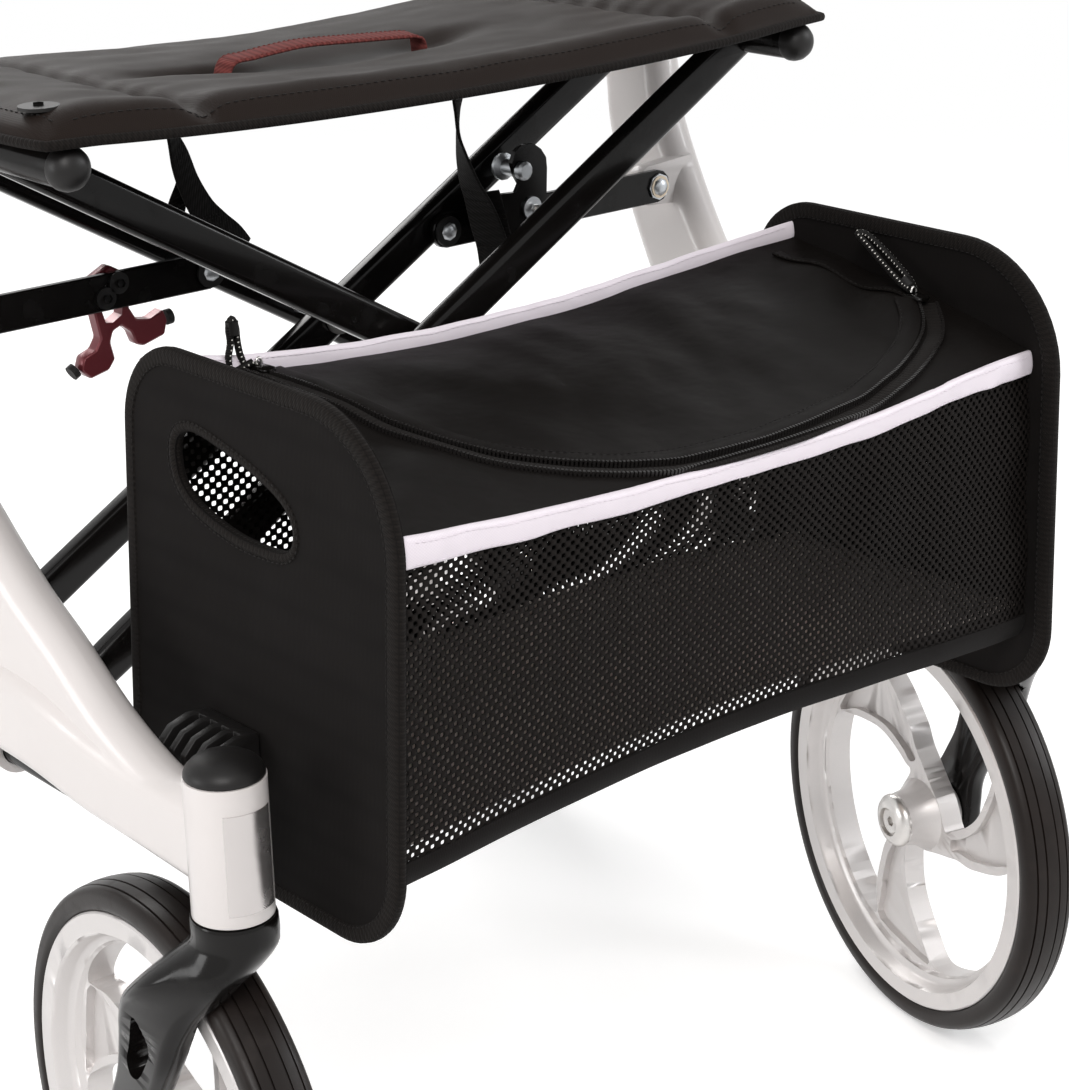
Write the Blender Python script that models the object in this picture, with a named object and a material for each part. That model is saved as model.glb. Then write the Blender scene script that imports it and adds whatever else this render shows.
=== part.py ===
"""Folding four-wheeled walking frame with a seat, front bag and cross brace, at real size.

Sizes are in millimetres until mesh_object() writes metres. X runs across the frame (the side at -X
is called near, the side at +X far), -Y is the front and +Z is up. The floor is z = 0.
"""

import math

import bmesh
import bpy
from mathutils import Matrix, Vector

MM = 0.001
SIDES = (("near", -1), ("far", 1))
X, Y, Z = Vector((1, 0, 0)), Vector((0, 1, 0)), Vector((0, 0, 1))
GAP = 0.3

# Side frames
ARM_X = 248.0
UPPER_X = 264.0
LOWER_TUBE_X = 256.0
FRAME_DEPTH = 25.0
HEAD_Y = -298.0
HEAD_BOTTOM = 270.5
HEAD_TOP = 334.0
HEAD_RADIUS = 18.0
POST_LEAN = math.radians(18)
TUBE_TOP = Vector((0, 90, 812))
POST_RADIUS = 10.0
POST_BORE = 10.4
POST_DEPTH = 150.0
POST_OUT = 78.0

# Wheels
FRONT_RADIUS = 125.3
REAR_RADIUS = 100.0
TYRE_HALF_WIDTH = 15.0
TRAIL = 67.0
FORK_YAW = {"near": math.radians(4.2), "far": math.radians(13.9)}
WHEEL_SPIN = {"near": math.radians(-27), "far": 0.0}
REAR_AXLE = Vector((0, 232, REAR_RADIUS))
REAR_WHEEL_X = 284.0
AXLE_RADIUS = 5.0
AXLE_X = 250.0
BRAKE_PIVOT = (168.0, 246.0)
LEG_FACE_X = 264.5
FRONT_SEGMENTS = 26
REAR_SEGMENTS = 20

# Cross brace: both sets hinge on the lower rails and on each other at the middle
LOWER_PIVOT_X = 236.0
LOWER_PIVOT_Z = 279.0
RAIL_X = 222.0
RAIL_Z = 567.0
RAIL_RADIUS = 9.5
RAIL_FRONT = -163.0
RAIL_REAR = 38.0
BRACE_SLOPE = 0.5872
LEG_WIDTH = 20.0
LEG_DEPTH = 12.0
LEG_A_Y = (-125.0, -44.0)
LEG_B_Y = (-108.0, -8.0)
CROSSING_Z = RAIL_Z - BRACE_SLOPE * RAIL_X
BOLT_RADIUS = 4.0

# Guide links between the side frames and the legs
LINK_OUTER_X = 225.0
LINK_INNER_X = 70.5
LINK_Z = 472.0
LINK_HALF_HEIGHT = 9.4
LINK_DEPTH = 4.0
LINK_Y = {"near": -35.4, "far": -52.8}

# Bag: its end panels lean outwards at the bottom, and the far end reaches further forward
PANEL_TOP_X = 200.0
PANEL_BOTTOM_X = 208.5
PANEL_DEPTH = 4.0
BAG_FRONT = -364.0
BAG_REAR = -159.0
BAG_BOTTOM = 252.0
BAG_TOP = 489.5
BAG_SKEW = 4.0
WALL = 2.5
HOOK_Z = 337.0

# Seat
SEAT_HALF_WIDTH = 240.0
SEAT_FRONT = -187.0
SEAT_REAR = 47.0
SEAT_THICKNESS = 14.0
SEAT_SAG = 13.0
SEAT_BASE = RAIL_Z + RAIL_RADIUS + 1.1
STRAP_Y = -86.0

# Colour, roughness and metallic value of each finish
LOOKS = {
    "white paint": ((0.86, 0.84, 0.82), 0.30, 0.0),
    "black paint": ((0.012, 0.011, 0.011), 0.18, 0.0),
    "black plastic": ((0.025, 0.024, 0.024), 0.45, 0.0),
    "rubber": ((0.022, 0.020, 0.020), 0.60, 0.0),
    "silver paint": ((0.62, 0.60, 0.59), 0.35, 0.7),
    "steel": ((0.62, 0.61, 0.60), 0.25, 1.0),
    "maroon": ((0.20, 0.035, 0.045), 0.40, 0.3),
    "red webbing": ((0.24, 0.07, 0.06), 0.80, 0.0),
    "seat fabric": ((0.035, 0.033, 0.033), 0.55, 0.0),
    "bag fabric": ((0.018, 0.017, 0.018), 0.75, 0.0),
}


def clear_scene():
    for obj in list(bpy.data.objects):
        bpy.data.objects.remove(obj, do_unlink=True)


def material(name, look):
    colour, roughness, metallic = LOOKS[look]
    made = bpy.data.materials.new(name)
    made.use_nodes = True
    shader = made.node_tree.nodes["Principled BSDF"]
    shader.inputs["Base Color"].default_value = (*colour, 1)
    shader.inputs["Roughness"].default_value = roughness
    shader.inputs["Metallic"].default_value = metallic
    made.diffuse_color = (*colour, 1)
    return made


def mesh_object(name, mesh, look=None, at=Vector(), turn=0.0):
    """An object from a bmesh in millimetres about its own origin, placed at a point and turned about Z."""
    bmesh.ops.recalc_face_normals(mesh, faces=mesh.faces)
    bmesh.ops.scale(mesh, vec=(MM, MM, MM), verts=mesh.verts)
    data = bpy.data.meshes.new(name)
    mesh.to_mesh(data)
    mesh.free()
    obj = bpy.data.objects.new(name, data)
    bpy.context.scene.collection.objects.link(obj)
    obj.location = Vector(at) * MM
    obj.rotation_euler.z = turn
    if look:
        data.materials.append(material(name, look))
        data.shade_smooth()
        data.set_sharp_from_angle(angle=math.radians(38))
    return obj


def bake(obj):
    """Replaces the object's mesh by the one its modifiers make."""
    bpy.context.view_layer.update()
    look = obj.data.materials[0] if obj.data.materials else None
    graph = bpy.context.evaluated_depsgraph_get()
    data = bpy.data.meshes.new_from_object(obj.evaluated_get(graph))
    obj.modifiers.clear()
    obj.data = data
    data.materials.clear()
    if look:
        data.materials.append(look)
        data.shade_smooth()
        data.set_sharp_from_angle(angle=math.radians(38))
    return obj


def combine(obj, others, operation="UNION"):
    """Joins the other meshes to the object, or cuts them out of it, and removes them."""
    for other in others:
        modifier = obj.modifiers.new(operation.title(), "BOOLEAN")
        modifier.operation = operation
        modifier.object = other
    bake(obj)
    for other in others:
        bpy.data.objects.remove(other, do_unlink=True)
    return obj


def bevel(obj, width, segments=2, angle=40):
    modifier = obj.modifiers.new("Bevel", "BEVEL")
    modifier.width = width * MM
    modifier.segments = segments
    modifier.limit_method = "ANGLE"
    modifier.angle_limit = math.radians(angle)
    modifier.harden_normals = False
    return bake(obj)


def smooth_values(rows, steps, closed=False):
    """Rows of numbers read from a smooth curve through the given rows."""
    rows = [tuple(row) for row in rows]
    count = len(rows)
    spans = count if closed else count - 1
    found = []
    for i in range(spans):
        if closed:
            before, start, end, after = (rows[(i + k) % count] for k in (-1, 0, 1, 2))
        else:
            start, end = rows[i], rows[i + 1]
            before = rows[i - 1] if i else tuple(2 * a - b for a, b in zip(start, end))
            after = rows[i + 2] if i + 2 < count else tuple(2 * b - a for a, b in zip(start, end))
        for k in range(steps):
            t = k / steps
            found.append(
                tuple(
                    b + 0.5 * t * ((c - a) + t * (2 * a - 5 * b + 4 * c - d + t * (3 * b - a - 3 * c + d)))
                    for a, b, c, d in zip(before, start, end, after)
                )
            )
    if not closed:
        found.append(rows[-1])
    return found


def rounded_box_outline(width, depth, corner, steps=3):
    """Points round a rectangle with round corners, centred on zero."""
    points = []
    for quarter in range(4):
        cx = (width / 2 - corner) * (1, -1, -1, 1)[quarter]
        cy = (depth / 2 - corner) * (1, 1, -1, -1)[quarter]
        for k in range(steps + 1):
            angle = math.pi / 2 * (quarter + k / steps)
            points.append((cx + corner * math.cos(angle), cy + corner * math.sin(angle)))
    return points


def circle_outline(radius, segments=24, start=0.0):
    angles = [start + 2 * math.pi * k / segments for k in range(segments)]
    return [(radius * math.cos(angle), radius * math.sin(angle)) for angle in angles]


def loft(rings):
    """A closed skin over rings that have the same number of points."""
    mesh = bmesh.new()
    made = [[mesh.verts.new(point) for point in ring] for ring in rings]
    count = len(made[0])
    for first, second in zip(made, made[1:]):
        for k in range(count):
            mesh.faces.new((first[k], first[(k + 1) % count], second[(k + 1) % count], second[k]))
    mesh.faces.new(made[0][::-1])
    mesh.faces.new(made[-1])
    return mesh


def swept(path, flat, outline_of):
    """A skin along a path. The outline's second direction is flat, and its first lies across the path."""
    rings = []
    for k, here in enumerate(path):
        before = path[max(k - 1, 0)]
        after = path[min(k + 1, len(path) - 1)]
        across = flat.cross((after - before).normalized()).normalized()
        rings.append([here + across * a + flat * b for a, b in outline_of(k)])
    return loft(rings)


def flat_tube(stations, flat, steps, corner, corner_steps=3):
    """A tube of rectangular section with round corners; each station holds x, y, z, width and depth."""
    rows = smooth_values(stations, steps)
    path = [Vector(row[:3]) for row in rows]
    def section(k):
        width, depth = rows[k][3:]
        return rounded_box_outline(width, depth, min(corner, depth * 0.49), corner_steps)

    return swept(path, flat, section)


def prism(outline, axis, low, high):
    """An outline pushed along X, Y or Z. The outline's numbers are the other two axes, in order."""
    order = {"x": (2, 0, 1), "y": (0, 2, 1), "z": (0, 1, 2)}[axis]
    rings = []
    for level in (low, high):
        rings.append([[(a, b, level)[k] for k in order] for a, b in outline])
    return loft(rings)


def rod(start, end, radius, segments=20, end_radius=None):
    """A round bar, or a cone, between two points."""
    start, end = Vector(start), Vector(end)
    along = (end - start).normalized()
    side = along.orthogonal().normalized()
    other = along.cross(side)
    rings = []
    for centre, size in ((start, radius), (end, end_radius or radius)):
        rings.append([centre + side * a + other * b for a, b in circle_outline(size, segments)])
    return loft(rings)


def turned(profile, axis, segments=24, closed=True):
    """A profile of (radius, height) points turned round an axis through zero; a radius of 0 makes a pole."""
    side = axis.orthogonal().normalized()
    other = axis.cross(side)
    mesh = bmesh.new()
    rings = []
    for radius, height in profile:
        if radius == 0:
            rings.append([mesh.verts.new(axis * height)])
            continue
        ring = circle_outline(radius, segments)
        rings.append([mesh.verts.new(axis * height + side * a + other * b) for a, b in ring])
    pairs = list(zip(rings, rings[1:]))
    if closed:
        pairs.append((rings[-1], rings[0]))
    for first, second in pairs:
        for k in range(segments):
            n = (k + 1) % segments
            if len(first) == 1:
                corners = [first[0], second[n], second[k]]
            elif len(second) == 1:
                corners = [first[k], first[n], second[0]]
            else:
                corners = [first[k], first[n], second[n], second[k]]
            mesh.faces.new(corners)
    return mesh


def moved(mesh, by):
    bmesh.ops.translate(mesh, vec=by, verts=mesh.verts)
    return mesh


def turned_about(mesh, angle, axis, centre=Vector()):
    bmesh.ops.rotate(mesh, cent=centre, matrix=Matrix.Rotation(angle, 3, axis), verts=mesh.verts)
    return mesh


def helper(mesh):
    return mesh_object("helper", mesh)


def post_axis(side):
    """The top of the frame's upper tube and the direction that the handle post slides in."""
    top = Vector((side * UPPER_X, TUBE_TOP.y, TUBE_TOP.z))
    return top, Vector((0, math.sin(POST_LEAN), math.cos(POST_LEAN)))


def upper_tube_station(side, below_top, width, depth):
    top, along = post_axis(side)
    return (*(top - along * below_top), width, depth)


def side_frame(name, side):
    """Head tube, swept main tube, the tube below it that runs back to the rear wheel, and their lugs."""
    main = [
        (side * ARM_X, -290, 303, 37, 24),
        (side * ARM_X, -250, 303.5, 39, FRAME_DEPTH),
        (side * ARM_X, -203, 315.5, 51, FRAME_DEPTH),
        (side * (ARM_X + 1), -165, 337.5, 58, FRAME_DEPTH),
        (side * (ARM_X + 2), -133, 357, 60, FRAME_DEPTH),
        (side * (ARM_X + 2), -94, 386.5, 60, FRAME_DEPTH),
        (side * (ARM_X + 2), -58.7, 419.4, 58, FRAME_DEPTH),
        (side * (ARM_X + 9), -14, 491, 52, 26),
        (side * (ARM_X + 14), 0, 534, 50, 26),
        upper_tube_station(side, 215, 46, 27),
        upper_tube_station(side, 130, 38, 28),
        upper_tube_station(side, 50, 34, 29),
        upper_tube_station(side, 0, 34, 29),
    ]
    frame = mesh_object(name, flat_tube(main, X, 2, 12, 2), "white paint")
    lower = [
        (side * ARM_X, -287, 299, 40, 24),
        (side * (ARM_X + 1), -240, 302, 40, FRAME_DEPTH),
        (side * (ARM_X + 4), -202, 307.5, 43, FRAME_DEPTH),
        (side * (ARM_X + 7), -160, 316, 45, FRAME_DEPTH),
        (side * LOWER_TUBE_X, -105, 317.5, 44, FRAME_DEPTH),
        (side * LOWER_TUBE_X, -40, 314.5, 40, FRAME_DEPTH),
        (side * LOWER_TUBE_X, 30, 312, 38, FRAME_DEPTH),
        (side * (ARM_X + 7), 90, 300, 38, FRAME_DEPTH),
        (side * (ARM_X + 5), 150, 268, 38, 24),
        (side * (ARM_X + 3), 195, 215, 36, 23),
        (side * AXLE_X, 222, 160, 34, 22),
        (side * AXLE_X, 230, 104, 32, 22),
    ]
    centre = Vector((side * AXLE_X, *REAR_AXLE.yz))
    boss = rod(centre - X * side * 11, centre + X * side * 14, 17, 16)
    head = rod((side * ARM_X, HEAD_Y, HEAD_BOTTOM), (side * ARM_X, HEAD_Y, HEAD_TOP), HEAD_RADIUS, 24)
    lug_y = LINK_Y[name.split("_")[1]] + LINK_DEPTH / 2 + GAP
    lug = prism(link_lug_outline(side), "y", lug_y, lug_y + 9)
    parts = [flat_tube(lower, X, 1, 10, 2), boss, head, lug, saddle_arm(side)]
    parts += [lower_lug(side, y) for y in (-92, 10)]
    combine(frame, [helper(part) for part in parts])
    top, along = post_axis(side)
    low_rail = (side * LOWER_PIVOT_X, LOWER_PIVOT_Z)
    cuts = [
        rod(top + along * 20, top - along * POST_DEPTH, POST_BORE, 14),
        rod((low_rail[0], -200, low_rail[1]), (low_rail[0], 60, low_rail[1]), RAIL_RADIUS + 0.4, 14),
        rod((side * LINK_OUTER_X, -70, LINK_Z), (side * LINK_OUTER_X, 0, LINK_Z), BOLT_RADIUS + GAP, 10),
        rod(centre - X * 30, centre + X * 30, AXLE_RADIUS + GAP, 12),
        rod((side * ARM_X, HEAD_Y, HEAD_BOTTOM - 5), (side * ARM_X, HEAD_Y, HEAD_TOP + 5), 7, 12),
        rod((side * AXLE_X, *BRAKE_PIVOT), (side * (AXLE_X + 40), *BRAKE_PIVOT), BOLT_RADIUS + GAP, 10),
    ]
    return combine(frame, [helper(cut) for cut in cuts], "DIFFERENCE")


def link_lug_outline(side):
    """A tab from the main tube to the link's outer bolt, with a round end."""
    points = [(side * (ARM_X + 8), LINK_Z + 22), (side * (ARM_X + 8), LINK_Z - 22)]
    radius = 12
    for k in range(9):
        angle = math.radians(-70 + 140 * k / 8)
        points.append((side * (LINK_OUTER_X - radius * math.cos(angle)), LINK_Z + radius * math.sin(angle)))
    return points


def lower_lug(side, y):
    """A ring under the lower tube that holds the brace's lower rail."""
    x, z = side * LOWER_PIVOT_X, LOWER_PIVOT_Z
    lug = helper(rod((x, y - 8, z), (x, y + 8, z), RAIL_RADIUS + 4.5, 16))
    inner, outer = side * (LOWER_PIVOT_X - 6), side * (LOWER_TUBE_X + 4)
    neck = [(inner, z + 6), (outer, z + 4), (outer, z + 26), (side * (LOWER_TUBE_X - 8), z + 26)]
    combine(lug, [helper(prism(neck, "y", y - 8, y + 8))])
    mesh = bmesh.new()
    mesh.from_mesh(lug.data)
    bmesh.ops.scale(mesh, vec=(1 / MM,) * 3, verts=mesh.verts)
    bpy.data.objects.remove(lug, do_unlink=True)
    return mesh


def saddle_arm(side):
    """A tab from the main tube that the seat rail rests on when the frame is open."""
    rest = RAIL_Z - RAIL_RADIUS - 2 * GAP
    outline = [
        (side * (UPPER_X - 4), RAIL_Z - 38),
        (side * (UPPER_X - 4), rest),
        (side * (RAIL_X - 12), rest),
        (side * (RAIL_X - 13), RAIL_Z - 18),
    ]
    return prism(outline, "y", 6, 24)


def leg_path(side_top, y):
    """Centre line of one brace leg, from its seat rail down to the lower rail on the other side."""
    bottom = -side_top
    ends = [(222, 567), (110, 501.2), (0, CROSSING_Z), (-110, 372), (-196, 321.5)]
    stations = [(side_top * x, y, z, LEG_WIDTH, LEG_DEPTH) for x, z in ends]
    stations += [
        (bottom * 213, y, 310.8, 16, LEG_DEPTH),
        (bottom * 222, y, 302, 13, LEG_DEPTH),
        (bottom * 227, y, 291, 12, LEG_DEPTH),
        (bottom * 230, y, 281, 12, LEG_DEPTH),
    ]
    return stations


def brace(name, top_side, legs_y, bore):
    """Two legs, their seat rail at the top and the lower rail that they hinge on, as one weldment."""
    rail_x, low_x = top_side * RAIL_X, -top_side * LOWER_PIVOT_X
    rail = rod((rail_x, RAIL_FRONT, RAIL_Z), (rail_x, RAIL_REAR, RAIL_Z), RAIL_RADIUS, 16)
    made = mesh_object(name, rail, "black paint")
    parts = [rod((low_x, -153, LOWER_PIVOT_Z), (low_x, 24, LOWER_PIVOT_Z), RAIL_RADIUS, 16)]
    for y in legs_y:
        parts.append(flat_tube(leg_path(top_side, y), Y, 1, 4, 1))
    combine(made, [helper(part) for part in parts])
    holes = [
        rod((rail_x, RAIL_FRONT - 1, RAIL_Z), (rail_x, RAIL_FRONT + 14, RAIL_Z), 7.4, 12),
        rod((rail_x, RAIL_REAR - 14, RAIL_Z), (rail_x, RAIL_REAR + 1, RAIL_Z), 7.4, 12),
        rod((0, -150, CROSSING_Z), (0, 20, CROSSING_Z), bore, 10),
    ]
    return combine(made, [helper(hole) for hole in holes], "DIFFERENCE")


def rail_cap(name, x):
    """A domed plug in the front end of a seat rail."""
    profile = [(0, 13), (6.9, 13), (6.9, -0.3), (10.2, -0.3), (10, -4.5), (7.2, -9.6), (0, -12.2)]
    return mesh_object(name, turned(profile, Y, 16, closed=False), "black plastic", (x, RAIL_FRONT, RAIL_Z))


def bolt(name, look, at, axis, head_radius, head_height, shank_radius, shank, washer=None):
    """A domed screw. Its shank runs from zero along the axis, and its head stands the other way."""
    profile = [(0, shank), (shank_radius, shank), (shank_radius, 0)] if shank else [(0, 0)]
    rise = 1.2 if washer else 0
    if washer:
        profile += [(washer, 0), (washer, -rise)]
    profile.append((head_radius, -rise))
    for k in range(1, 4):
        angle = math.pi / 2 * k / 4
        profile.append((head_radius * math.cos(angle), -rise - head_height * math.sin(angle)))
    profile.append((0, -rise - head_height))
    return mesh_object(name, turned(profile, Vector(axis), 8, closed=False), look, at)


def guide_link(name, side):
    """A flat bar with round ends and a hole at each."""
    y, half = LINK_Y[name.split("_")[1]], LINK_HALF_HEIGHT
    outline = []
    for centre, start in ((LINK_INNER_X, 90), (LINK_OUTER_X, -90)):
        for k in range(7):
            angle = math.radians(start + 180 * k / 6)
            outline.append((side * (centre + half * math.cos(angle)), half * math.sin(angle)))
    origin = Vector((side * LINK_OUTER_X, y, LINK_Z))
    bar = [(a - origin.x, b) for a, b in outline]
    made = mesh_object(name, prism(bar, "y", -LINK_DEPTH / 2, LINK_DEPTH / 2), "black paint", origin)
    bevel(made, 0.6, 1)
    holes = []
    for x in (LINK_INNER_X, LINK_OUTER_X):
        holes.append(rod((side * x, y - 5, LINK_Z), (side * x, y + 5, LINK_Z), BOLT_RADIUS + GAP, 10))
    return combine(made, [helper(hole) for hole in holes], "DIFFERENCE")


def link_bolts(name, side):
    y = LINK_Y[name] - LINK_DEPTH / 2 - GAP
    outer = (side * LINK_OUTER_X, y, LINK_Z)
    bolt(f"link_bolt_outer_{name}", "steel", outer, Y, 5.4, 3.2, BOLT_RADIUS, 13, washer=7.6)
    inner = (side * LINK_INNER_X, y, LINK_Z)
    leg_y = {"near": LEG_B_Y[1], "far": LEG_A_Y[1]}[name] - LEG_DEPTH / 2
    bolt(f"link_bolt_inner_{name}", "steel", inner, Y, 5.2, 3.0, BOLT_RADIUS, leg_y - GAP - y, washer=8.0)


def claw():
    """The two-armed maroon claw behind the near link, with its rubber tips and screws."""
    low = LINK_Y["near"] + LINK_DEPTH / 2 + GAP
    outline = [
        (-138, 478), (-126, 484), (-114, 477), (-117, 461), (-113, 454), (-105, 452.5), (-97, 456),
        (-95, 450), (-97, 443), (-110, 439.5), (-114, 441), (-116.5, 448), (-122, 452.5), (-127, 450.5),
        (-129, 445), (-127, 436), (-131, 431), (-142, 428.5), (-147, 434), (-145, 440), (-138, 442.5),
        (-134.5, 448), (-137, 461),
    ]
    made = mesh_object("lock_claw", prism(outline, "y", low, low + 8), "maroon")
    bevel(made, 0.8, 1, 15)
    gap = [(-133.5, 464), (-131, 455.5), (-127, 455), (-121.5, 458), (-120.5, 464)]
    combine(made, [helper(prism(gap, "y", low - 1, low + 9))], "DIFFERENCE")
    front = LINK_Y["near"] - LINK_DEPTH / 2 - GAP
    for k, (x, z) in enumerate(((-125, 476), (-133, 469.5))):
        bolt(f"claw_screw_{k + 1}", "black plastic", (x, front, z), Y, 5.0, 2.8, 0, 0)
    for k, (x, z, lean) in enumerate(((-146.7, 434.8, -150), (-95.6, 450.4, 5))):
        along = Vector((math.cos(math.radians(lean)), 0, math.sin(math.radians(lean))))
        start = Vector((x, low + 4, z)) + along * 1.8
        mesh_object(f"claw_tip_{k + 1}", rod(start, start + along * 3.2, 4.0, 16), "rubber")


def keeper():
    """The eared plate on the far link, the spool pin behind it and its mounting bolt."""
    link_front = LINK_Y["far"] - LINK_DEPTH / 2
    plate_back, plate_front = link_front - 13.5, link_front - 16.5
    outline = [
        (106, 512), (111, 515), (119, 514.5), (124, 511), (127.5, 506), (128, 500), (127, 479),
        (122, 470), (111, 464), (97, 461), (90, 465), (85, 476), (83, 487), (86, 491), (106, 490),
        (108.5, 494), (105.5, 499), (103.5, 506),
    ]
    made = mesh_object("lock_keeper", prism(outline, "y", plate_front, plate_back), "black paint")
    for x, z in ((116, 475), (95, 472)):
        combine(made, [helper(rod((x, plate_back - 1, z), (x, link_front - GAP, z), 4.5, 12))])
    x, z = 109.5, 501.5
    combine(made, [helper(rod((x, plate_front - 2, z), (x, plate_back + 2, z), 3.3, 14))], "DIFFERENCE")
    profile = [
        (0, 15.9), (7.6, 15.9), (7.6, 14), (4.4, 12.6), (4.4, 3.3), (3, 3.3), (3, -0.3), (5.2, -0.3),
        (5.2, -3.4), (3.6, -4.6), (0, -4.6),
    ]
    mesh_object("lock_pin", turned(profile, Y, 12, closed=False), "steel", (x, plate_front - 0.1, z))
    bolt("lock_keeper_bolt", "steel", (116, plate_front - GAP, 480), Y, 5.8, 4.4, 0, 0)


def fork(name, side, yaw):
    """A one-sided fork: the crown under the head tube flows outboard over the tyre into one swept arm."""
    # Each level from the crown down: height, centre outboard and back, size across and back, lean, roundness
    levels = [
        (269.7, 0, 0, 38, 38, 0, 19),
        (260, 0, 0, 38.4, 38.4, 0, 19),
        (255, 1.5, 1.5, 40, 39, 6, 18),
        (248, 7, 5.5, 39, 42, 18, 16),
        (240, 13.5, 11, 34, 45, 28, 13),
        (231, 18.5, 18, 28, 46, 26, 11),
        (221, 22, 26, 22, 46, 14, 9),
        (208, 24.2, 33, 17, 45, 5, 7),
        (193, 24.8, 39, 14.5, 43, 0, 6),
        (176, 24.5, 47, 13.5, 37, 0, 5.5),
        (160, 24.2, 57, 13.2, 34, 0, 5.5),
        (146, 24.2, 64.5, 13.2, 35, 0, 5.5),
        (132, 24.2, 67, 13.2, 36.5, 0, 5.5),
        (119, 24.2, 67.2, 13.2, 34, 0, 5.5),
        (110, 24.2, 67.4, 12.8, 24, 0, 5),
        (106.5, 24.2, 67.5, 11, 12, 0, 4),
    ]
    rings = []
    for height, out, back, across, along, lean, corner in levels:
        angle = math.radians(lean)
        corner = min(corner, across * 0.49, along * 0.49)
        ring = []
        for a, b in rounded_box_outline(across, along, corner, 2):
            x = out + a * math.cos(angle) + b * math.sin(angle)
            y = back - a * math.sin(angle) + b * math.cos(angle)
            ring.append((side * x, y, height))
        rings.append(ring)
    arm = mesh_object(name, loft(rings), "black paint")
    inner, outer = FRONT_RADIUS - 6, FRONT_RADIUS + 3
    tyre_room = [(0, -18.5), (inner, -18.5), (outer, -9), (outer, 9), (inner, 18.5), (0, 18.5)]
    room = turned(tyre_room, X, 28, closed=False)
    moved(room, Vector((0, TRAIL, FRONT_RADIUS)))
    kite = [(37, 214), (31, 209), (27, 202), (29, 195), (40, 181), (48, 179), (50, 186), (45, 197)]
    cuts = [
        room,
        prism(kite, "x", side * 10, side * 45),
        rod((side * 10, TRAIL, FRONT_RADIUS), (side * 40, TRAIL, FRONT_RADIUS), AXLE_RADIUS + GAP, 14),
    ]
    combine(arm, [helper(cut) for cut in cuts], "DIFFERENCE")
    combine(arm, [helper(rod((0, 0, 262), (0, 0, HEAD_TOP - 4), 6.6, 20))])
    arm.location = Vector((side * ARM_X, HEAD_Y, 0)) * MM
    arm.rotation_euler.z = -yaw
    return arm


def head_cap(name, side):
    profile = [(0, 0), (17.4, 0), (17.4, 3), (15, 8.5), (9, 13), (0, 14.6)]
    at = (side * ARM_X, HEAD_Y, HEAD_TOP + GAP)
    return mesh_object(name, turned(profile, Z, 20, closed=False), "black plastic", at)


def polar_curve(points, steps=2, closed=False):
    """Points on a smooth curve through (radius, degrees) pairs, as (y, z)."""
    flat = [(r * math.cos(math.radians(a)), r * math.sin(math.radians(a))) for r, a in points]
    return smooth_values(flat, steps, closed)


def spoke_edges(scale, inset=0.0):
    """Both edges of one swept spoke from the hub out, drawn in by inset, as (radius, degrees)."""
    leading = [(25, -14), (38, -38), (58, -48), (80, -57), (93, -63)]
    trailing = [(25, -57), (38, -68), (58, -80), (80, -94), (93, -101)]
    edges = []
    for edge, sign in ((leading, -1), (trailing, 1)):
        edges.append([(r * scale, a + sign * math.degrees(inset / (r * scale))) for r, a in edge])
    return edges


def spoke_window(scale):
    """The opening between one spoke and the next, with a round corner and a pointed one at the rim."""
    leading, trailing = spoke_edges(scale)
    far_side = [(r, a - 120) for r, a in leading]
    rim = [(95.5 * scale, a) for a in (-114, -130, -146, -162, -176)]
    hub = [(22 * scale, -98)]
    return polar_curve(trailing + rim + far_side[::-1] + hub, 1, closed=True)


def spoke_pocket(scale, depth_from, depth_to):
    """The hollow between a spoke's two ribs on one face."""
    leading, trailing = spoke_edges(scale, 6.5)
    return prism(polar_curve(trailing[1:] + leading[:0:-1], 1, closed=True), "x", depth_from, depth_to)


def wheel(name, radius, at, turn, spin, hub_side):
    """Cast rim with three swept twin-ribbed spokes at one side of a deep barrel, its tyre and its axle."""
    scale = radius / FRONT_RADIUS
    seat = radius - 12.4
    inner, outer = -1.0, 12.0
    profile = [
        (AXLE_RADIUS + 0.4, -18), (15, -18), (21, inner), (94 * scale, inner), (102 * scale, -14.5),
        (seat - GAP, -14.5), (seat - GAP, 14.5), (102 * scale, 14.5), (97 * scale, outer), (21, outer),
        (15, 18), (AXLE_RADIUS + 0.4, 18),
    ]
    segments = FRONT_SEGMENTS if radius == FRONT_RADIUS else REAR_SEGMENTS
    rim = mesh_object(f"{name}_rim", turned(profile, X, segments), "silver paint")
    cuts = []
    for k in range(3):
        window = prism(spoke_window(scale), "x", -22, 22)
        for shape in (window, spoke_pocket(scale, -22, 2.5), spoke_pocket(scale, 8.5, 22)):
            cuts.append(helper(turned_about(shape, math.radians(120 * k) + spin, X)))
    combine(rim, cuts, "DIFFERENCE")
    tread = [(seat, -13.8), (seat + 6, -TYRE_HALF_WIDTH), (radius - 0.8, -8.2)]
    tread += [(radius, 0)] + [(r, -h) for r, h in reversed(tread)]
    tyre = mesh_object(f"{name}_tyre", turned(tread, X, segments), "rubber")
    for made in (rim, tyre):
        made.location = Vector(at) * MM
        made.rotation_euler.z = turn
    cap = [
        (0, -24.2), (8, -23.4), (14.5, -20.6), (15.6, -18.3), (AXLE_RADIUS, -18.3), (AXLE_RADIUS, 32),
        (0, 32),
    ]
    axle = turned(cap, X, 12, closed=False)
    if hub_side < 0:
        turned_about(axle, math.pi, Z)
    return mesh_object(f"{name}_axle", axle, "steel", at, turn)


def caster(name, side):
    yaw = FORK_YAW[name]
    fork(f"fork_{name}", side, yaw)
    back = Vector((math.sin(yaw), math.cos(yaw), 0))
    centre = Vector((side * ARM_X, HEAD_Y, FRONT_RADIUS)) + back * TRAIL
    wheel(f"front_wheel_{name}", FRONT_RADIUS, centre, -yaw, WHEEL_SPIN[name], side)
    head_cap(f"head_cap_{name}", side)


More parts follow.
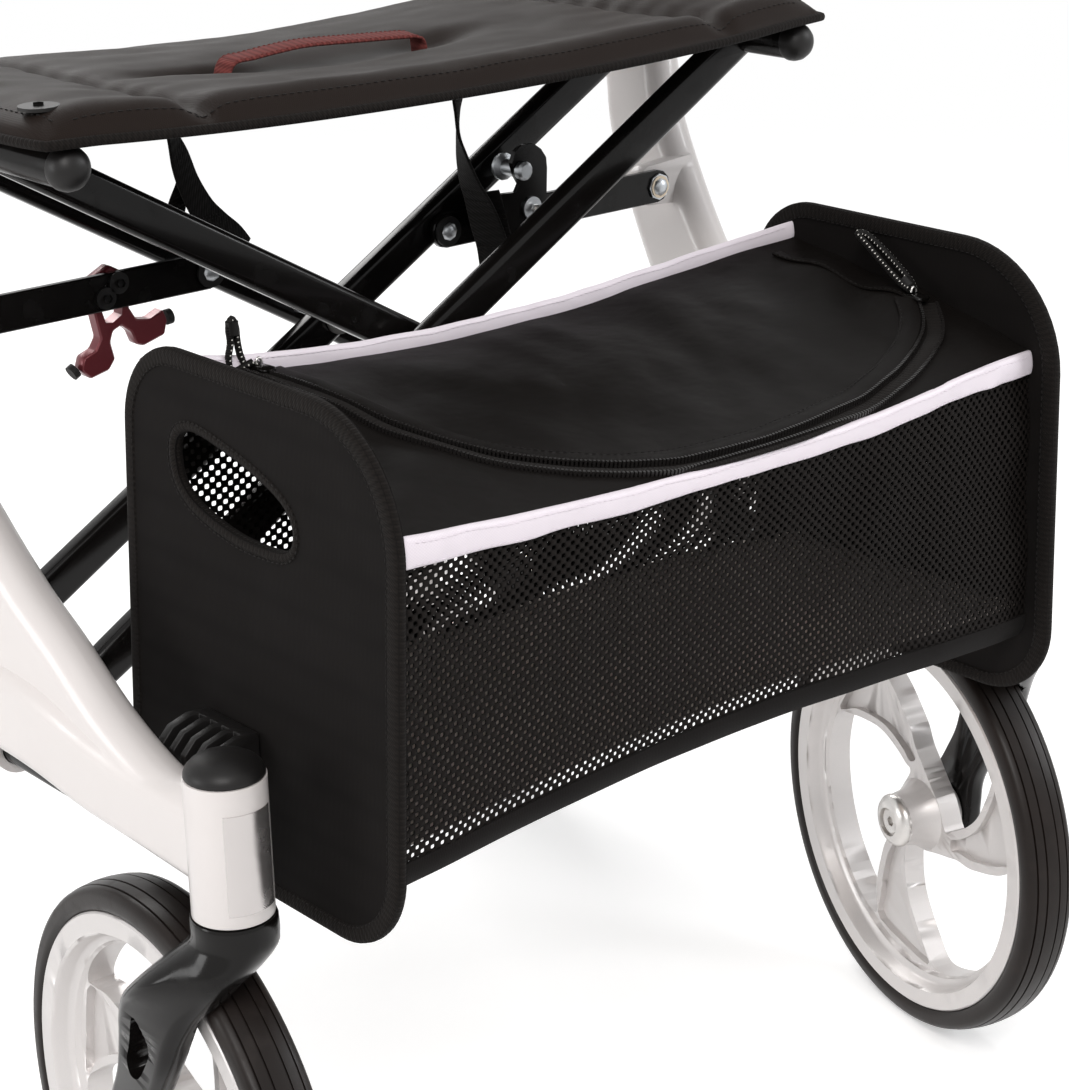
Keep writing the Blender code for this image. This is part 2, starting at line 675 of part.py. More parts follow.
def brake_shoe(name, side):
    """A lever that hinges on the rear leg's outer face and carries a pad just clear of the rear tyre."""
    pivot = Vector((side * LEG_FACE_X, *BRAKE_PIVOT))
    away = math.radians(122)
    pad = Vector((0, math.cos(away), math.sin(away))) * (REAR_RADIUS + 1.6) + REAR_AXLE - pivot
    outline = []
    for along, out in ((-12, 0), (12, 0), (12, 7), (8, 10), (-8, 10), (-12, 7)):
        outline.append((
            pad.y + along * math.sin(away) + out * math.cos(away),
            pad.z - along * math.cos(away) + out * math.sin(away),
        ))
    near_face, far_face = side * 7, side * 33
    made = mesh_object(name, prism(outline, "x", near_face, far_face), "black plastic", pivot)
    arm = [(-7, 4), (-3, 8), (3, 8), (7, 4), (9, -40), (6, -56), (0, -60), (-6, -50)]
    parts = [prism(arm, "x", near_face, side * 15), rod(Vector(), X * side * 15, 9, 14)]
    parts.append(rod(-X * side * 12, X * side * 4, BOLT_RADIUS, 10))
    for part in parts:
        other = helper(part)
        other.location = pivot * MM
        combine(made, [other])
    return made


def handle(name, side):
    """Post, bent bar, grip, brake lever, collar and height button of one side."""
    top, along = post_axis(side)
    seat = top - along * (POST_DEPTH - 30)
    rise = top + along * POST_OUT
    path = [seat, top, rise]
    bend = [rise + Vector((0, y, z)) for y, z in ((3, 10), (12, 19), (26, 22.1), (66, 22.5))]
    points = [Vector(row) for row in path + bend]
    post = swept(points, X, lambda k: circle_outline(POST_RADIUS, 12))
    mesh_object(f"handle_post_{name}", moved(post, -top), "silver paint", top)
    start = rise + Vector((0, 30, 22))
    grip = []
    shape = [
        (0, 15), (8, 17.5), (24, 17), (48, 18.5), (76, 16.5), (100, 16), (118, 18.5), (126, 17), (129, 12),
    ]
    for y, radius in shape:
        flat = 1.0 if y < 10 else 0.88
        centre = start + Vector((0, y, 0.03 * y))
        grip.append([centre + X * a + Z * b * flat for a, b in circle_outline(radius, 12)])
    made = mesh_object(f"grip_{name}", loft(grip), "rubber")
    bore = [rise + Vector((0, 20, 22)), rise + Vector((0, 66.4, 22.5))]
    cheeks = rounded_prism_block(start + Vector((0, 8, -24)), (22, 26, 30), 4)
    combine(made, [helper(cheeks)])
    slot = rounded_prism_block(start + Vector((0, 12, -30)), (11, 50, 24), 1)
    combine(made, [helper(rod(bore[0], bore[1], POST_RADIUS + 2 * GAP, 14)), helper(slot)], "DIFFERENCE")
    lever(f"brake_lever_{name}", side, start + Vector((0, 8, -30)))
    collar = rounded_prism_block(Vector((0, 0, 0)), (39, 44, 30), 9)
    bmesh.ops.rotate(collar, cent=(0, 0, 0), matrix=Matrix.Rotation(-POST_LEAN, 3, X), verts=collar.verts)
    moved(collar, top + along * 1)
    collar = mesh_object(f"collar_{name}", collar, "black plastic")
    tube_outline = [top - along * 20, top + along * (-GAP + 0.6)]
    socket = swept(tube_outline, X, lambda k: rounded_box_outline(34.8, 29.8, 12.3, 2))
    knob_at = top + along * 6
    cuts = [
        socket,
        rod(top - along * 30, top + along * 30, POST_BORE, 16),
        rod(knob_at + X * side * 7, knob_at + X * side * 30, 6.4, 16),
    ]
    combine(collar, [helper(cut) for cut in cuts], "DIFFERENCE")
    button = [(0, 13.6), (6, 13.6), (6, 23), (8, 23), (7, 27), (0, 27.8)]
    knob = turned(button, X * side, 12, closed=False)
    mesh_object(f"height_button_{name}", knob, "maroon", knob_at)


def rounded_prism_block(centre, size, corner):
    """A block with round upright edges, centred on a point."""
    outline = rounded_box_outline(size[0], size[1], corner, 2)
    return moved(prism(outline, "z", -size[2] / 2, size[2] / 2), Vector(centre))


def lever(name, side, pivot):
    """A brake lever that hangs below the grip, on a cross pin in the grip's cheeks."""
    stations = [
        (0, -8, 3, 12, 9.4), (0, 14, -1, 12, 9.4), (0, 40, -12, 11, 9.6), (0, 80, -24, 12, 12),
        (0, 112, -27, 11, 14), (0, 124, -24, 8, 12),
    ]
    return mesh_object(name, flat_tube(stations, X, 1, 4, 2), "black plastic", pivot)


def panel_x(z):
    """Half the bag's outer width at a height."""
    share = (BAG_TOP - z) / (BAG_TOP - BAG_BOTTOM)
    return PANEL_TOP_X + (PANEL_BOTTOM_X - PANEL_TOP_X) * share


def bag_panel(name, side):
    """A stiff end panel with round corners and a hand slot."""
    forward = BAG_SKEW * (side + 1) / 2
    corners = (
        (BAG_REAR - 3, BAG_TOP, 42), (BAG_FRONT - forward, BAG_TOP, 60),
        (BAG_FRONT + 2 - forward, BAG_BOTTOM, 42), (BAG_REAR + 2, BAG_BOTTOM, 28),
    )
    outline = []
    for quarter, (y, z, radius) in enumerate(corners):
        cy = y + radius * (-1, 1, 1, -1)[quarter]
        cz = z + radius * (-1, -1, 1, 1)[quarter]
        for k in range(7):
            angle = math.pi / 2 * (quarter + k / 6)
            outline.append((cy + radius * math.cos(angle), cz + radius * math.sin(angle)))
    made = mesh_object(name, leaned(prism(outline, "x", -PANEL_DEPTH, 0), side), "bag fabric")
    slot = [
        (-205, 450), (-214, 455), (-230, 454), (-262, 447), (-283, 439), (-291, 430), (-289, 420),
        (-276, 416), (-248, 416), (-220, 422), (-207, 430), (-203, 441),
    ]
    combine(made, [helper(leaned(prism(slot, "x", -PANEL_DEPTH - 5, 5), side))], "DIFFERENCE")
    return made


def leaned(mesh, side):
    """Moves a mesh drawn against the plane x = 0 onto the leaning end panel of one side."""
    for vertex in mesh.verts:
        vertex.co.x = side * (vertex.co.x + panel_x(vertex.co.z))
    return mesh


def between_panels(outline):
    """A soft wall with the given (y, z) section that fills the width between the end panels."""
    mesh = prism(outline, "x", -1, 1)
    for vertex in mesh.verts:
        share = (BAG_REAR - vertex.co.y) / (BAG_REAR - BAG_FRONT)
        vertex.co.y -= BAG_SKEW * share * (vertex.co.x + 1) / 2
        vertex.co.x *= panel_x(vertex.co.z) - PANEL_DEPTH - GAP
    return mesh


def bag_section(inset):
    """The trough's section as (y, z) points: rear hem, floor and front hem, drawn in by inset."""
    rear, front = BAG_REAR - 8 - inset, BAG_FRONT + 4 + inset
    floor = BAG_BOTTOM + 34 + inset
    points = [(rear, 455)]
    for radius, y, first in ((20 - inset, rear, 0), (24 - inset, front, -90)):
        centre = y - radius if first == 0 else y + radius
        for k in range(5):
            angle = math.radians(first - 90 * k / 4)
            points.append((centre + radius * math.cos(angle), floor + radius + radius * math.sin(angle)))
    points.append((front, 434))
    return points


def bag_body():
    """The soft trough between the end panels: rear wall, floor and mesh front."""
    outline = bag_section(0) + bag_section(WALL)[::-1]
    return mesh_object("bag_body", between_panels(outline), "bag fabric")


def bag_lid():
    """The soft top, from the rear hem over a low crown to the front hem."""
    lower, upper = [], []
    rear, front = BAG_REAR - 8, BAG_FRONT + 4
    for k in range(9):
        t = k / 8
        y = rear + (front - rear) * t
        z = 455.5 - 21 * t + 6 * math.sin(math.pi * t)
        lower.append((y, z))
        upper.append((y, z + WALL))
    return mesh_object("bag_lid", between_panels(lower + upper[::-1]), "bag fabric")


def bag_hook(name, side):
    """A ribbed clip on the end panel that reaches over the frame behind the head tube."""
    wall = panel_x(HOOK_Z) + 1.2
    plate = [(wall, HOOK_Z - 22), (wall, HOOK_Z + 10), (wall + 5, HOOK_Z + 10), (wall + 5, HOOK_Z - 22)]
    top = [
        (wall, HOOK_Z - 4), (wall, HOOK_Z + 10), (222, HOOK_Z + 8), (239, HOOK_Z + 3),
        (240, HOOK_Z - 9), (234, HOOK_Z - 9), (230, HOOK_Z - 2),
    ]
    made = mesh_object(name, prism([(side * x, z) for x, z in plate], "y", -288, -246), "black plastic")
    combine(made, [helper(prism([(side * x, z) for x, z in top], "y", -274, -246))])
    grooves = []
    for k in range(3):
        y = -268 + 8 * k
        block = [(213, HOOK_Z + 4), (245, HOOK_Z - 1), (245, HOOK_Z + 20), (213, HOOK_Z + 20)]
        grooves.append(helper(prism([(side * x, z) for x, z in block], "y", y - 2, y + 2)))
    return combine(made, grooves, "DIFFERENCE")


def seat_bottom(x, v):
    """Height of the seat's underside; v runs from -1 at the front edge to 1 at the rear edge."""
    sag = SEAT_SAG - 8.5 * max(0.0, -v) ** 3 - max(0.0, v) ** 3
    return SEAT_BASE - sag * max(0.0, 1 - (x / 212) ** 2)


def seat_thickness(u, v):
    """Padding between drawn-in edges, with two stitched channels, a front roll and the strap's hollow."""
    edge = (1 - abs(u) ** 12) * (1 - abs(v) ** 10)
    channel = 1 - 0.45 * math.exp(-(((abs(u) - 0.66) / 0.05) ** 2))
    hollow = 1 - 0.4 * math.exp(-(((u + 0.1) / 0.30) ** 2) - ((v + 0.14) / 0.14) ** 2)
    roll = 3 * math.exp(-(((v + 0.86) / 0.12) ** 2))
    return 3 + (SEAT_THICKNESS - 3 + roll) * edge**0.6 * channel * hollow


def seat():
    """The padded sling: crowned panels, stitched channels, drawn-in edges and a sag in the middle."""
    columns, rows = 18, 8
    mesh = bmesh.new()
    middle, half = (SEAT_FRONT + SEAT_REAR) / 2, (SEAT_REAR - SEAT_FRONT) / 2
    layers = []
    for top in (False, True):
        grid = []
        for j in range(rows + 1):
            line = []
            v = -math.cos(math.pi * j / rows)
            for i in range(columns + 1):
                spread = 2 * i / columns - 1
                u = math.sin(math.pi / 2 * spread) * 0.35 + spread * 0.65
                x = u * SEAT_HALF_WIDTH * (1 - 0.02 * abs(v) ** 6 * abs(u) ** 4)
                y = middle + v * half + 15 * abs(u) ** 3 * max(0.0, -v) - 3 * abs(u) ** 6 * max(0.0, v)
                z = seat_bottom(x, v) + (seat_thickness(u, v) if top else 0)
                line.append(mesh.verts.new((x, y, z)))
            grid.append(line)
        layers.append(grid)
    for grid, flip in zip(layers, (True, False)):
        for j in range(rows):
            for i in range(columns):
                corners = [grid[j][i], grid[j][i + 1], grid[j + 1][i + 1], grid[j + 1][i]]
                mesh.faces.new(corners[::-1] if flip else corners)
    bottom, top = layers
    ring = [(0, i) for i in range(columns)] + [(j, columns) for j in range(rows)]
    ring += [(rows, i) for i in range(columns, 0, -1)] + [(j, 0) for j in range(rows, 0, -1)]
    for (j, i), (m, n) in zip(ring, ring[1:] + ring[:1]):
        mesh.faces.new((bottom[j][i], bottom[m][n], top[m][n], top[j][i]))
    return mesh_object("seat", mesh, "seat fabric")


def seat_strap():
    """The pull strap sewn across the hollow of the seat."""
    middle, half = (SEAT_FRONT + SEAT_REAR) / 2, (SEAT_REAR - SEAT_FRONT) / 2
    v = (STRAP_Y - middle) / half
    rings = []
    for k in range(13):
        x = -88 + 112 * k / 12
        z = seat_bottom(x, v) + seat_thickness(x / SEAT_HALF_WIDTH, v) + 4.4 + 2 * math.sin(math.pi * k / 12)
        rings.append([(x, STRAP_Y + a, z + b) for a, b in rounded_box_outline(14, 1.6, 0.7, 1)])
    return mesh_object("seat_strap", loft(rings), "red webbing")


def backrest():
    """A padded band between the collars that bows to the rear."""
    rows = []
    for k in range(13):
        t = -1 + 2 * k / 12
        depth = 6 + 8 * (1 - abs(t) ** 6)
        bow = TUBE_TOP.y + 10 + 70 * (1 - t * t)
        rows.append((t * (UPPER_X - 22), bow, 800, depth, 58 - 8 * abs(t) ** 4))
    path = [Vector(row[:3]) for row in rows]
    made = swept(path, Z, lambda k: rounded_box_outline(rows[k][3], rows[k][4], rows[k][3] * 0.45, 2))
    return mesh_object("backrest", made, "seat fabric")


def hang(name, at, parent, pieces):
    """Puts the pieces of one moving body on an empty that stands on the body's joint axis."""
    axis = bpy.data.objects.new(name, None)
    bpy.context.scene.collection.objects.link(axis)
    axis.location = Vector(at) * MM
    axis.empty_display_size = 0.03
    if parent:
        axis.parent = parent
        axis.matrix_parent_inverse = Matrix.Translation(-parent.location)
    for piece in pieces:
        piece = bpy.data.objects[piece]
        piece.parent = axis
        piece.matrix_parent_inverse = Matrix.Translation(-axis.location)
    return axis


def hang_pieces():
    """The chain of bodies: near side, both brace sets, far side, and what turns or slides on them."""
    both = {}
    for name, side in SIDES:
        both[name] = [
            f"frame_{name}", f"head_cap_{name}", f"collar_{name}", f"link_bolt_outer_{name}",
            f"rear_wheel_{name}_axle", f"bag_panel_{name}", f"bag_hook_{name}",
        ]
    both["near"] += ["bag_body", "bag_lid", "backrest"]
    low = Vector((LOWER_PIVOT_X, 0, LOWER_PIVOT_Z))
    near = hang("near side", (-ARM_X, 0, 0), None, both["near"])
    first = ["brace_a", "brace_bolt_front", "brace_bolt_rear", "rail_cap_far"]
    second = ["brace_b", "rail_cap_near", "seat", "seat_strap"]
    brace_a = hang("brace a axis", (-low.x, 0, low.z), near, first)
    brace_b = hang("brace b axis", (0, 0, CROSSING_Z), brace_a, second)
    far = hang("far side axis", low, brace_b, both["far"])
    locks = {
        "near": ["lock_claw", "claw_screw_1", "claw_screw_2", "claw_tip_1", "claw_tip_2"],
        "far": ["lock_keeper", "lock_pin", "lock_keeper_bolt"],
    }
    for name, side in SIDES:
        frame = {"near": near, "far": far}[name]
        pieces = [f"link_{name}", f"link_bolt_inner_{name}"] + locks[name]
        hang(f"link {name} axis", (side * LINK_OUTER_X, 0, LINK_Z), frame, pieces)
        pieces = [f"fork_{name}", f"front_wheel_{name}_axle"]
        front = hang(f"caster {name} axis", (side * ARM_X, HEAD_Y, 0), frame, pieces)
        for end, parent in (("front", front), ("rear", frame)):
            wheel_name = f"{end}_wheel_{name}"
            rim = bpy.data.objects[f"{wheel_name}_rim"]
            hang(f"{wheel_name} axis", rim.location / MM, parent, [rim.name, f"{wheel_name}_tyre"])
        pieces = [f"handle_post_{name}", f"grip_{name}"]
        slide = hang(f"handle {name} slide", post_axis(side)[0], frame, pieces)
        for piece, parent in (("brake_lever", slide), ("brake_shoe", frame), ("height_button", frame)):
            made = bpy.data.objects[f"{piece}_{name}"]
            hang(f"{piece} {name} axis", made.location / MM, parent, [made.name])


def main():
    clear_scene()
    for name, side in SIDES:
        side_frame(f"frame_{name}", side)
        caster(name, side)
        at = Vector((side * REAR_WHEEL_X, *REAR_AXLE.yz))
        wheel(f"rear_wheel_{name}", REAR_RADIUS, at, 0, 0, -side)
        brake_shoe(f"brake_shoe_{name}", side)
        handle(name, side)
        rail_cap(f"rail_cap_{name}", side * RAIL_X)
        guide_link(f"link_{name}", side)
        link_bolts(name, side)
        bag_panel(f"bag_panel_{name}", side)
        bag_hook(f"bag_hook_{name}", side)
    brace("brace_a", 1, LEG_A_Y, BOLT_RADIUS + GAP)
    brace("brace_b", -1, LEG_B_Y, BOLT_RADIUS + GAP)
    for name, start, end in (("front", LEG_A_Y[0], LEG_B_Y[0]), ("rear", LEG_A_Y[1], LEG_B_Y[1])):
        at = (0, start - LEG_DEPTH / 2 - GAP, CROSSING_Z)
        shank = end - start + LEG_DEPTH + 5
        bolt(f"brace_bolt_{name}", "steel", at, Y, 6.5, 4, BOLT_RADIUS, shank, washer=8.5)
    claw()
    keeper()
    bag_body()
    bag_lid()
    seat()
    seat_strap()
    backrest()
    hang_pieces()


if __name__ == "__main__":
    main()
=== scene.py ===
"""Dresses the folding walking frame: fine wheels, forks, tubes, seat, bag, straps, finishes and a plain studio.

Shapes are worked out in millimetres in the CAD frame: X across, -Y the front, +Z up. The object's own
materials read Object coordinates or the piece's UV map, which is in metres along the cloth.
"""

import math

import bmesh
import bpy
from bpy.props import FloatProperty, FloatVectorProperty, PointerProperty
from mathutils import Matrix, Vector, noise


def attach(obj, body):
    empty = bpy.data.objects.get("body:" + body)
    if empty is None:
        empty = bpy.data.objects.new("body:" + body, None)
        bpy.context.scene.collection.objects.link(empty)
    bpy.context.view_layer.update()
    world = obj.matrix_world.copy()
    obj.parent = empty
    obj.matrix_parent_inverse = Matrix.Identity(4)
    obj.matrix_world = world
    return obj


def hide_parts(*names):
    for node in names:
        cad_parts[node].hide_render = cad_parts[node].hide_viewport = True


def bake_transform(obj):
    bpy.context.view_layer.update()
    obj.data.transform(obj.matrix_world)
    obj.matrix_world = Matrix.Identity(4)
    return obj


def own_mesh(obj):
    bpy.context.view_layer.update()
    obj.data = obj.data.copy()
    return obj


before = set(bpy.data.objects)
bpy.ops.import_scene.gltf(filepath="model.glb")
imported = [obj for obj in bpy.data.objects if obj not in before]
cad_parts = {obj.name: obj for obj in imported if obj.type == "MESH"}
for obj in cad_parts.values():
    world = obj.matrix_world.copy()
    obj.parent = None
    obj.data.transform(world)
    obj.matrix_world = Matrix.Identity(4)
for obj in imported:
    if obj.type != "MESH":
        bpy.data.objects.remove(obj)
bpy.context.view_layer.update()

bl_info = {
    "name": "Walking frame dressing",
    "version": (1, 0, 0),
    "blender": (4, 5, 0),
    "location": "3D View > Sidebar > Walking frame",
    "description": "Dresses a folding walking frame with fine surfaces, cloth and finishes",
    "category": "Object",
}

MM = 0.001
SIDES = (("near", -1), ("far", 1))
X, Y, Z = Vector((1, 0, 0)), Vector((0, 1, 0)), Vector((0, 0, 1))
GAP = 0.3

# Sizes that the model under this dressing was drawn from
ARM_X, UPPER_X, LOWER_TUBE_X, DEPTH = 248.0, 264.0, 256.0, 25.0
HEAD_Y, HEAD_BOTTOM, HEAD_TOP, HEAD_RADIUS = -298.0, 270.5, 334.0, 18.0
POST_LEAN, TUBE_TOP, POST_RADIUS = math.radians(18), Vector((0, 90, 812)), 10.0
POST_BORE, POST_DEPTH, POST_OUT = 10.4, 150.0, 78.0
FRONT_RADIUS, REAR_RADIUS, TRAIL = 125.3, 100.0, 67.0
FORK_YAW = {"near": math.radians(4.2), "far": math.radians(13.9)}
WHEEL_SPIN = {"near": math.radians(-27), "far": 0.0}
REAR_AXLE, REAR_WHEEL_X, AXLE_RADIUS, AXLE_X = Vector((0, 232, 100)), 284.0, 5.0, 250.0
BRAKE_PIVOT, BOLT_RADIUS = (168.0, 246.0), 4.0
LOW_X, LOW_Z, RAIL_X, RAIL_Z, RAIL_RADIUS = 236.0, 279.0, 222.0, 567.0, 9.5
RAIL_FRONT, RAIL_REAR, CROSSING_Z = -163.0, 38.0, 567.0 - 0.5872 * 222.0
LEG_A_Y, LEG_B_Y = (-125.0, -44.0), (-108.0, -8.0)
LINK_OUTER, LINK_INNER, LINK_Z, LINK_Y = 225.0, 70.5, 472.0, {"near": -35.4, "far": -52.8}
PANEL_TOP_X, PANEL_BOTTOM_X, BAG_BOTTOM, BAG_TOP = 200.0, 208.5, 252.0, 489.5
BAG_FRONT, BAG_REAR, BAG_SKEW, PANEL_DEPTH = -364.0, -159.0, 4.0, 4.0
SEAT_WIDTH, SEAT_BASE, SAG = 240.0, 577.6, 13.0
CHANNEL = 0.66  # place of the seat's two sewn channels, as a share of half its width

# The photograph's view: place and turn of the camera, and its lens on a 36 mm frame
CAMERA_AT = Vector((-0.7971, -1.1630, 0.8001))
CAMERA_RIGHT = Vector((0.7625, -0.6462, -0.0230))
CAMERA_UP = Vector((0.2364, 0.2455, 0.9397))
LENS = 88.08

# Materials and node trees by name, filled as they are made
LOOKS, TREES = {}, {}


def add_node(tree, kind, settings=None, inputs=None):
    """A new node with its settings set first, then the values or links of its inputs; a list makes many links."""
    made = tree.nodes.new(kind)
    for key, value in (settings or {}).items():
        setattr(made, key, value)
    for key, value in (inputs or {}).items():
        if isinstance(value, (list, bpy.types.NodeSocket)):
            for socket in value if isinstance(value, list) else [value]:
                tree.links.new(socket, made.inputs[key])
        else:
            made.inputs[key].default_value = value
    return made


# ---------------------------------------------------------------- finishes


class Wire:
    """An output of a shader tree on which sums can be written."""

    def __init__(self, finish, socket):
        self.finish, self.socket = finish, socket

    def sum(self, operation, first, second):
        return self.finish.node("ShaderNodeMath", {"operation": operation}, {0: first, 1: second})

    def __add__(self, other):
        return self.sum("ADD", self, other)

    def __sub__(self, other):
        return self.sum("SUBTRACT", self, other)

    def __rsub__(self, other):
        return self.sum("SUBTRACT", other, self)

    def __mul__(self, other):
        return self.sum("MULTIPLY", self, other)

    def __gt__(self, other):
        return self.sum("GREATER_THAN", self, other)

    __radd__, __rmul__ = __add__, __mul__

    def sine(self):
        return self.sum("SINE", self, 0.0)

    def cosine(self):
        return self.sum("COSINE", self, 0.0)

    def size(self):
        return self.sum("ABSOLUTE", self, 0.0)


class Finish:
    """A node material that is built up piece by piece."""

    def __init__(self, name, roughness, metallic=0.0, fixed=None):
        self.material = bpy.data.materials.new(name)
        self.material.use_nodes = True
        self.tree = self.material.node_tree
        self.shader = self.tree.nodes["Principled BSDF"]
        self.shader.inputs["Roughness"].default_value = roughness
        self.shader.inputs["Metallic"].default_value = metallic
        for key, value in (fixed or {}).items():
            self.shader.inputs[key].default_value = value
        LOOKS[name] = self.material

    def node(self, kind, settings=None, inputs=None, output=0):
        given = {key: value.socket if isinstance(value, Wire) else value for key, value in (inputs or {}).items()}
        return Wire(self, add_node(self.tree, kind, settings, given).outputs[output])

    def join(self, socket, value):
        if isinstance(value, Wire):
            self.tree.links.new(value.socket, socket)
        else:
            socket.default_value = value

    def feed(self, name, value):
        self.join(self.shader.inputs[name], value)

    def place(self):
        return self.node("ShaderNodeTexCoord", output=3)

    def cloth(self):
        return self.node("ShaderNodeTexCoord", output=2)

    def parts(self, vector):
        made = add_node(self.tree, "ShaderNodeSeparateXYZ", inputs={0: vector.socket})
        return [Wire(self, socket) for socket in made.outputs]

    def grain(self, scale, detail=2.0, vector=None, stretch=None):
        """Noise from 0 to 1, at so many grains a metre, on Object coordinates unless another vector is given."""
        vector = vector or self.place()
        if stretch:
            vector = self.node("ShaderNodeMapping", inputs={0: vector, 3: stretch})
        return self.node("ShaderNodeTexNoise", inputs={"Vector": vector, "Scale": scale, "Detail": detail})

    def spread(self, value, low, high, start=0.0, end=1.0):
        settings = {"interpolation_type": "SMOOTHSTEP"}
        return self.node("ShaderNodeMapRange", settings, {0: value, 1: start, 2: end, 3: low, 4: high})

    def blend(self, factor, first, second):
        settings = {"data_type": "RGBA"}
        return self.node("ShaderNodeMix", settings, {0: factor, 6: first, 7: second}, 2)

    def bump(self, height, strength, distance, before=None):
        inputs = {"Strength": strength, "Distance": distance, "Height": height}
        if before:
            inputs["Normal"] = before
        return self.node("ShaderNodeBump", inputs=inputs)


def tone(colour, share=1.0):
    return (colour[0] * share, colour[1] * share, colour[2] * share, 1)


def painted(name, colour, roughness, metallic=0.0, orange_peel=0.25, coat=0.0, flake=0.0, gloss=0.5):
    """Powder coat or lacquer: orange peel, uneven gloss, a little dust and, where metallic, flakes."""
    fixed = {"Coat Roughness": 0.08, "Specular IOR Level": gloss}
    made = Finish(name, roughness, metallic, fixed)
    cloud = made.grain(14, 4)
    dust = made.spread(made.grain(55, 6), 0, 1, 0.52, 0.78)
    peel = made.grain(950, 1)
    base = made.blend(cloud * 0.5, tone(colour, 0.94), tone(colour, 1.03))
    if flake:
        speck = made.node("ShaderNodeTexVoronoi", inputs={"Vector": made.place(), "Scale": 2600})
        base = made.blend(made.spread(speck, flake, 0, 0.0, 0.6), base, tone(colour, 1.5))
    lighter = tuple(min(1, c * 0.8 + 0.10) for c in colour[:3])
    made.feed("Base Color", made.blend(dust * 0.05, base, tone(lighter)))
    made.feed("Roughness", roughness + cloud * 0.06 + dust * 0.10)
    if coat:
        made.feed("Coat Weight", coat - dust * 0.3)
    made.feed("Normal", made.bump(peel, orange_peel, 0.00012))
    return made.material


def moulded(name, colour, roughness, scale=1600, depth=0.00006):
    """Moulded plastic or rubber: fine spark texture, mould mottling and rubbed high spots."""
    made = Finish(name, roughness, 0.0, {"Specular IOR Level": 0.28})
    mottle = made.grain(38, 5)
    spark = made.grain(scale, 3)
    rubbed = made.spread(made.grain(120, 4), 0, 1, 0.55, 0.8)
    base = made.blend(mottle, tone(colour, 0.85), tone(colour, 1.2))
    made.feed("Base Color", made.blend(rubbed * 0.08, base, tone([c + 0.03 for c in colour])))
    made.feed("Roughness", roughness + spark * 0.1 - rubbed * 0.1)
    made.feed("Normal", made.bump(spark, 0.5, depth))
    return made.material


def tyre_rubber(name, colour):
    """Grey-black rubber with fine rings from the mould, dust in the grooves and a faint brown bloom."""
    made = Finish(name, 0.42, 0.0, {"Specular IOR Level": 0.2})
    bloom = made.grain(26, 5)
    fine = made.grain(700, 3)
    dust = made.spread(made.grain(90, 7), 0, 1, 0.5, 0.8)
    base = made.blend(bloom, tone(colour, 0.75), tone((0.018, 0.0125, 0.0105)))
    made.feed("Base Color", made.blend(dust * 0.06, base, tone((0.10, 0.08, 0.07))))
    made.feed("Roughness", 0.30 + bloom * 0.16 + dust * 0.14)
    made.feed("Normal", made.bump(fine, 0.35, 0.00008))
    return made.material


def metal(name, colour, roughness):
    """Plated steel with turning marks and faint tarnish."""
    made = Finish(name, roughness, 1.0)
    marks = made.grain(9, 3, stretch=(60, 60, 900))
    tarnish = made.grain(70, 5)
    made.feed("Base Color", made.blend(tarnish, tone(colour, 0.78), tone(colour, 1.05)))
    made.feed("Roughness", roughness + marks * 0.14 + tarnish * 0.06)
    made.feed("Normal", made.bump(marks, 0.12, 0.00005))
    return made.material


def woven(name, colour, pitch, roughness=0.7, sheen=0.25, slub=0.5, relief=0.00018, crease=0.0, uv=True,
          gloss=0.08):
    """Plain-woven cloth: threads over and under, slubs, creases and a soft sheen."""
    fixed = {"Sheen Weight": sheen, "Sheen Roughness": 0.45, "Specular IOR Level": gloss}
    made = Finish(name, roughness, 0.0, fixed)
    where = made.cloth() if uv else made.place()
    across, along = made.parts(where)[:2]
    turn = math.tau / pitch
    weave = (across * turn).sine() * (along * turn).sine()
    rib = (across * (turn * 0.5)).sine().size() * 0.4
    height = weave * 0.5 + rib
    cloud = made.grain(30, 5)
    thread = made.grain(5, 2, where, (900, 60, 1))
    # Painted shade and highlight: the weave is darkened where its threads lie low and lightened where they stand high
    base = made.blend(made.spread(height, 0, 1, -0.6, 0.8), tone(colour, 0.62), tone(colour, 1.25))
    base = made.blend(thread * slub * 0.5, base, tone(colour, 1.7))
    made.feed("Base Color", made.blend(cloud * 0.35, base, tone(colour, 0.7)))
    made.feed("Roughness", roughness - 0.08 + cloud * 0.16)
    normal = made.bump(height, 0.6, relief)
    if crease:
        folds = made.grain(crease, 3)
        normal = made.bump(folds, 0.35, 0.004, normal)
    made.feed("Normal", normal)
    return made.material


def ribbed_tape(name, colour, pitch, roughness=0.75):
    """Grosgrain binding, seat-belt webbing and hems: cross ribs, twill lines and fluff."""
    fixed = {"Sheen Weight": 0.02, "Sheen Roughness": 0.5, "Specular IOR Level": 0.1}
    made = Finish(name, roughness, 0.0, fixed)
    along, across = made.parts(made.cloth())[:2]
    turn = math.tau / pitch
    twill = ((along + across * 0.7) * turn).sine()
    rib = (along * (turn * 0.5)).sine() * 0.6
    height = twill * 0.5 + rib
    fluff = made.grain(420, 4)
    # Painted shade and highlight: the ribs and twill lines are darker where they lie low and lighter where they stand
    # high
    base = made.blend(made.spread(height, 0, 1, -1, 1), tone(colour, 0.6), tone(colour, 1.3))
    made.feed("Base Color", made.blend(fluff * 0.3, base, tone(colour, 0.8)))
    made.feed("Roughness", roughness + fluff * 0.12)
    made.feed("Normal", made.bump(height, 0.7, 0.0002))
    return made.material


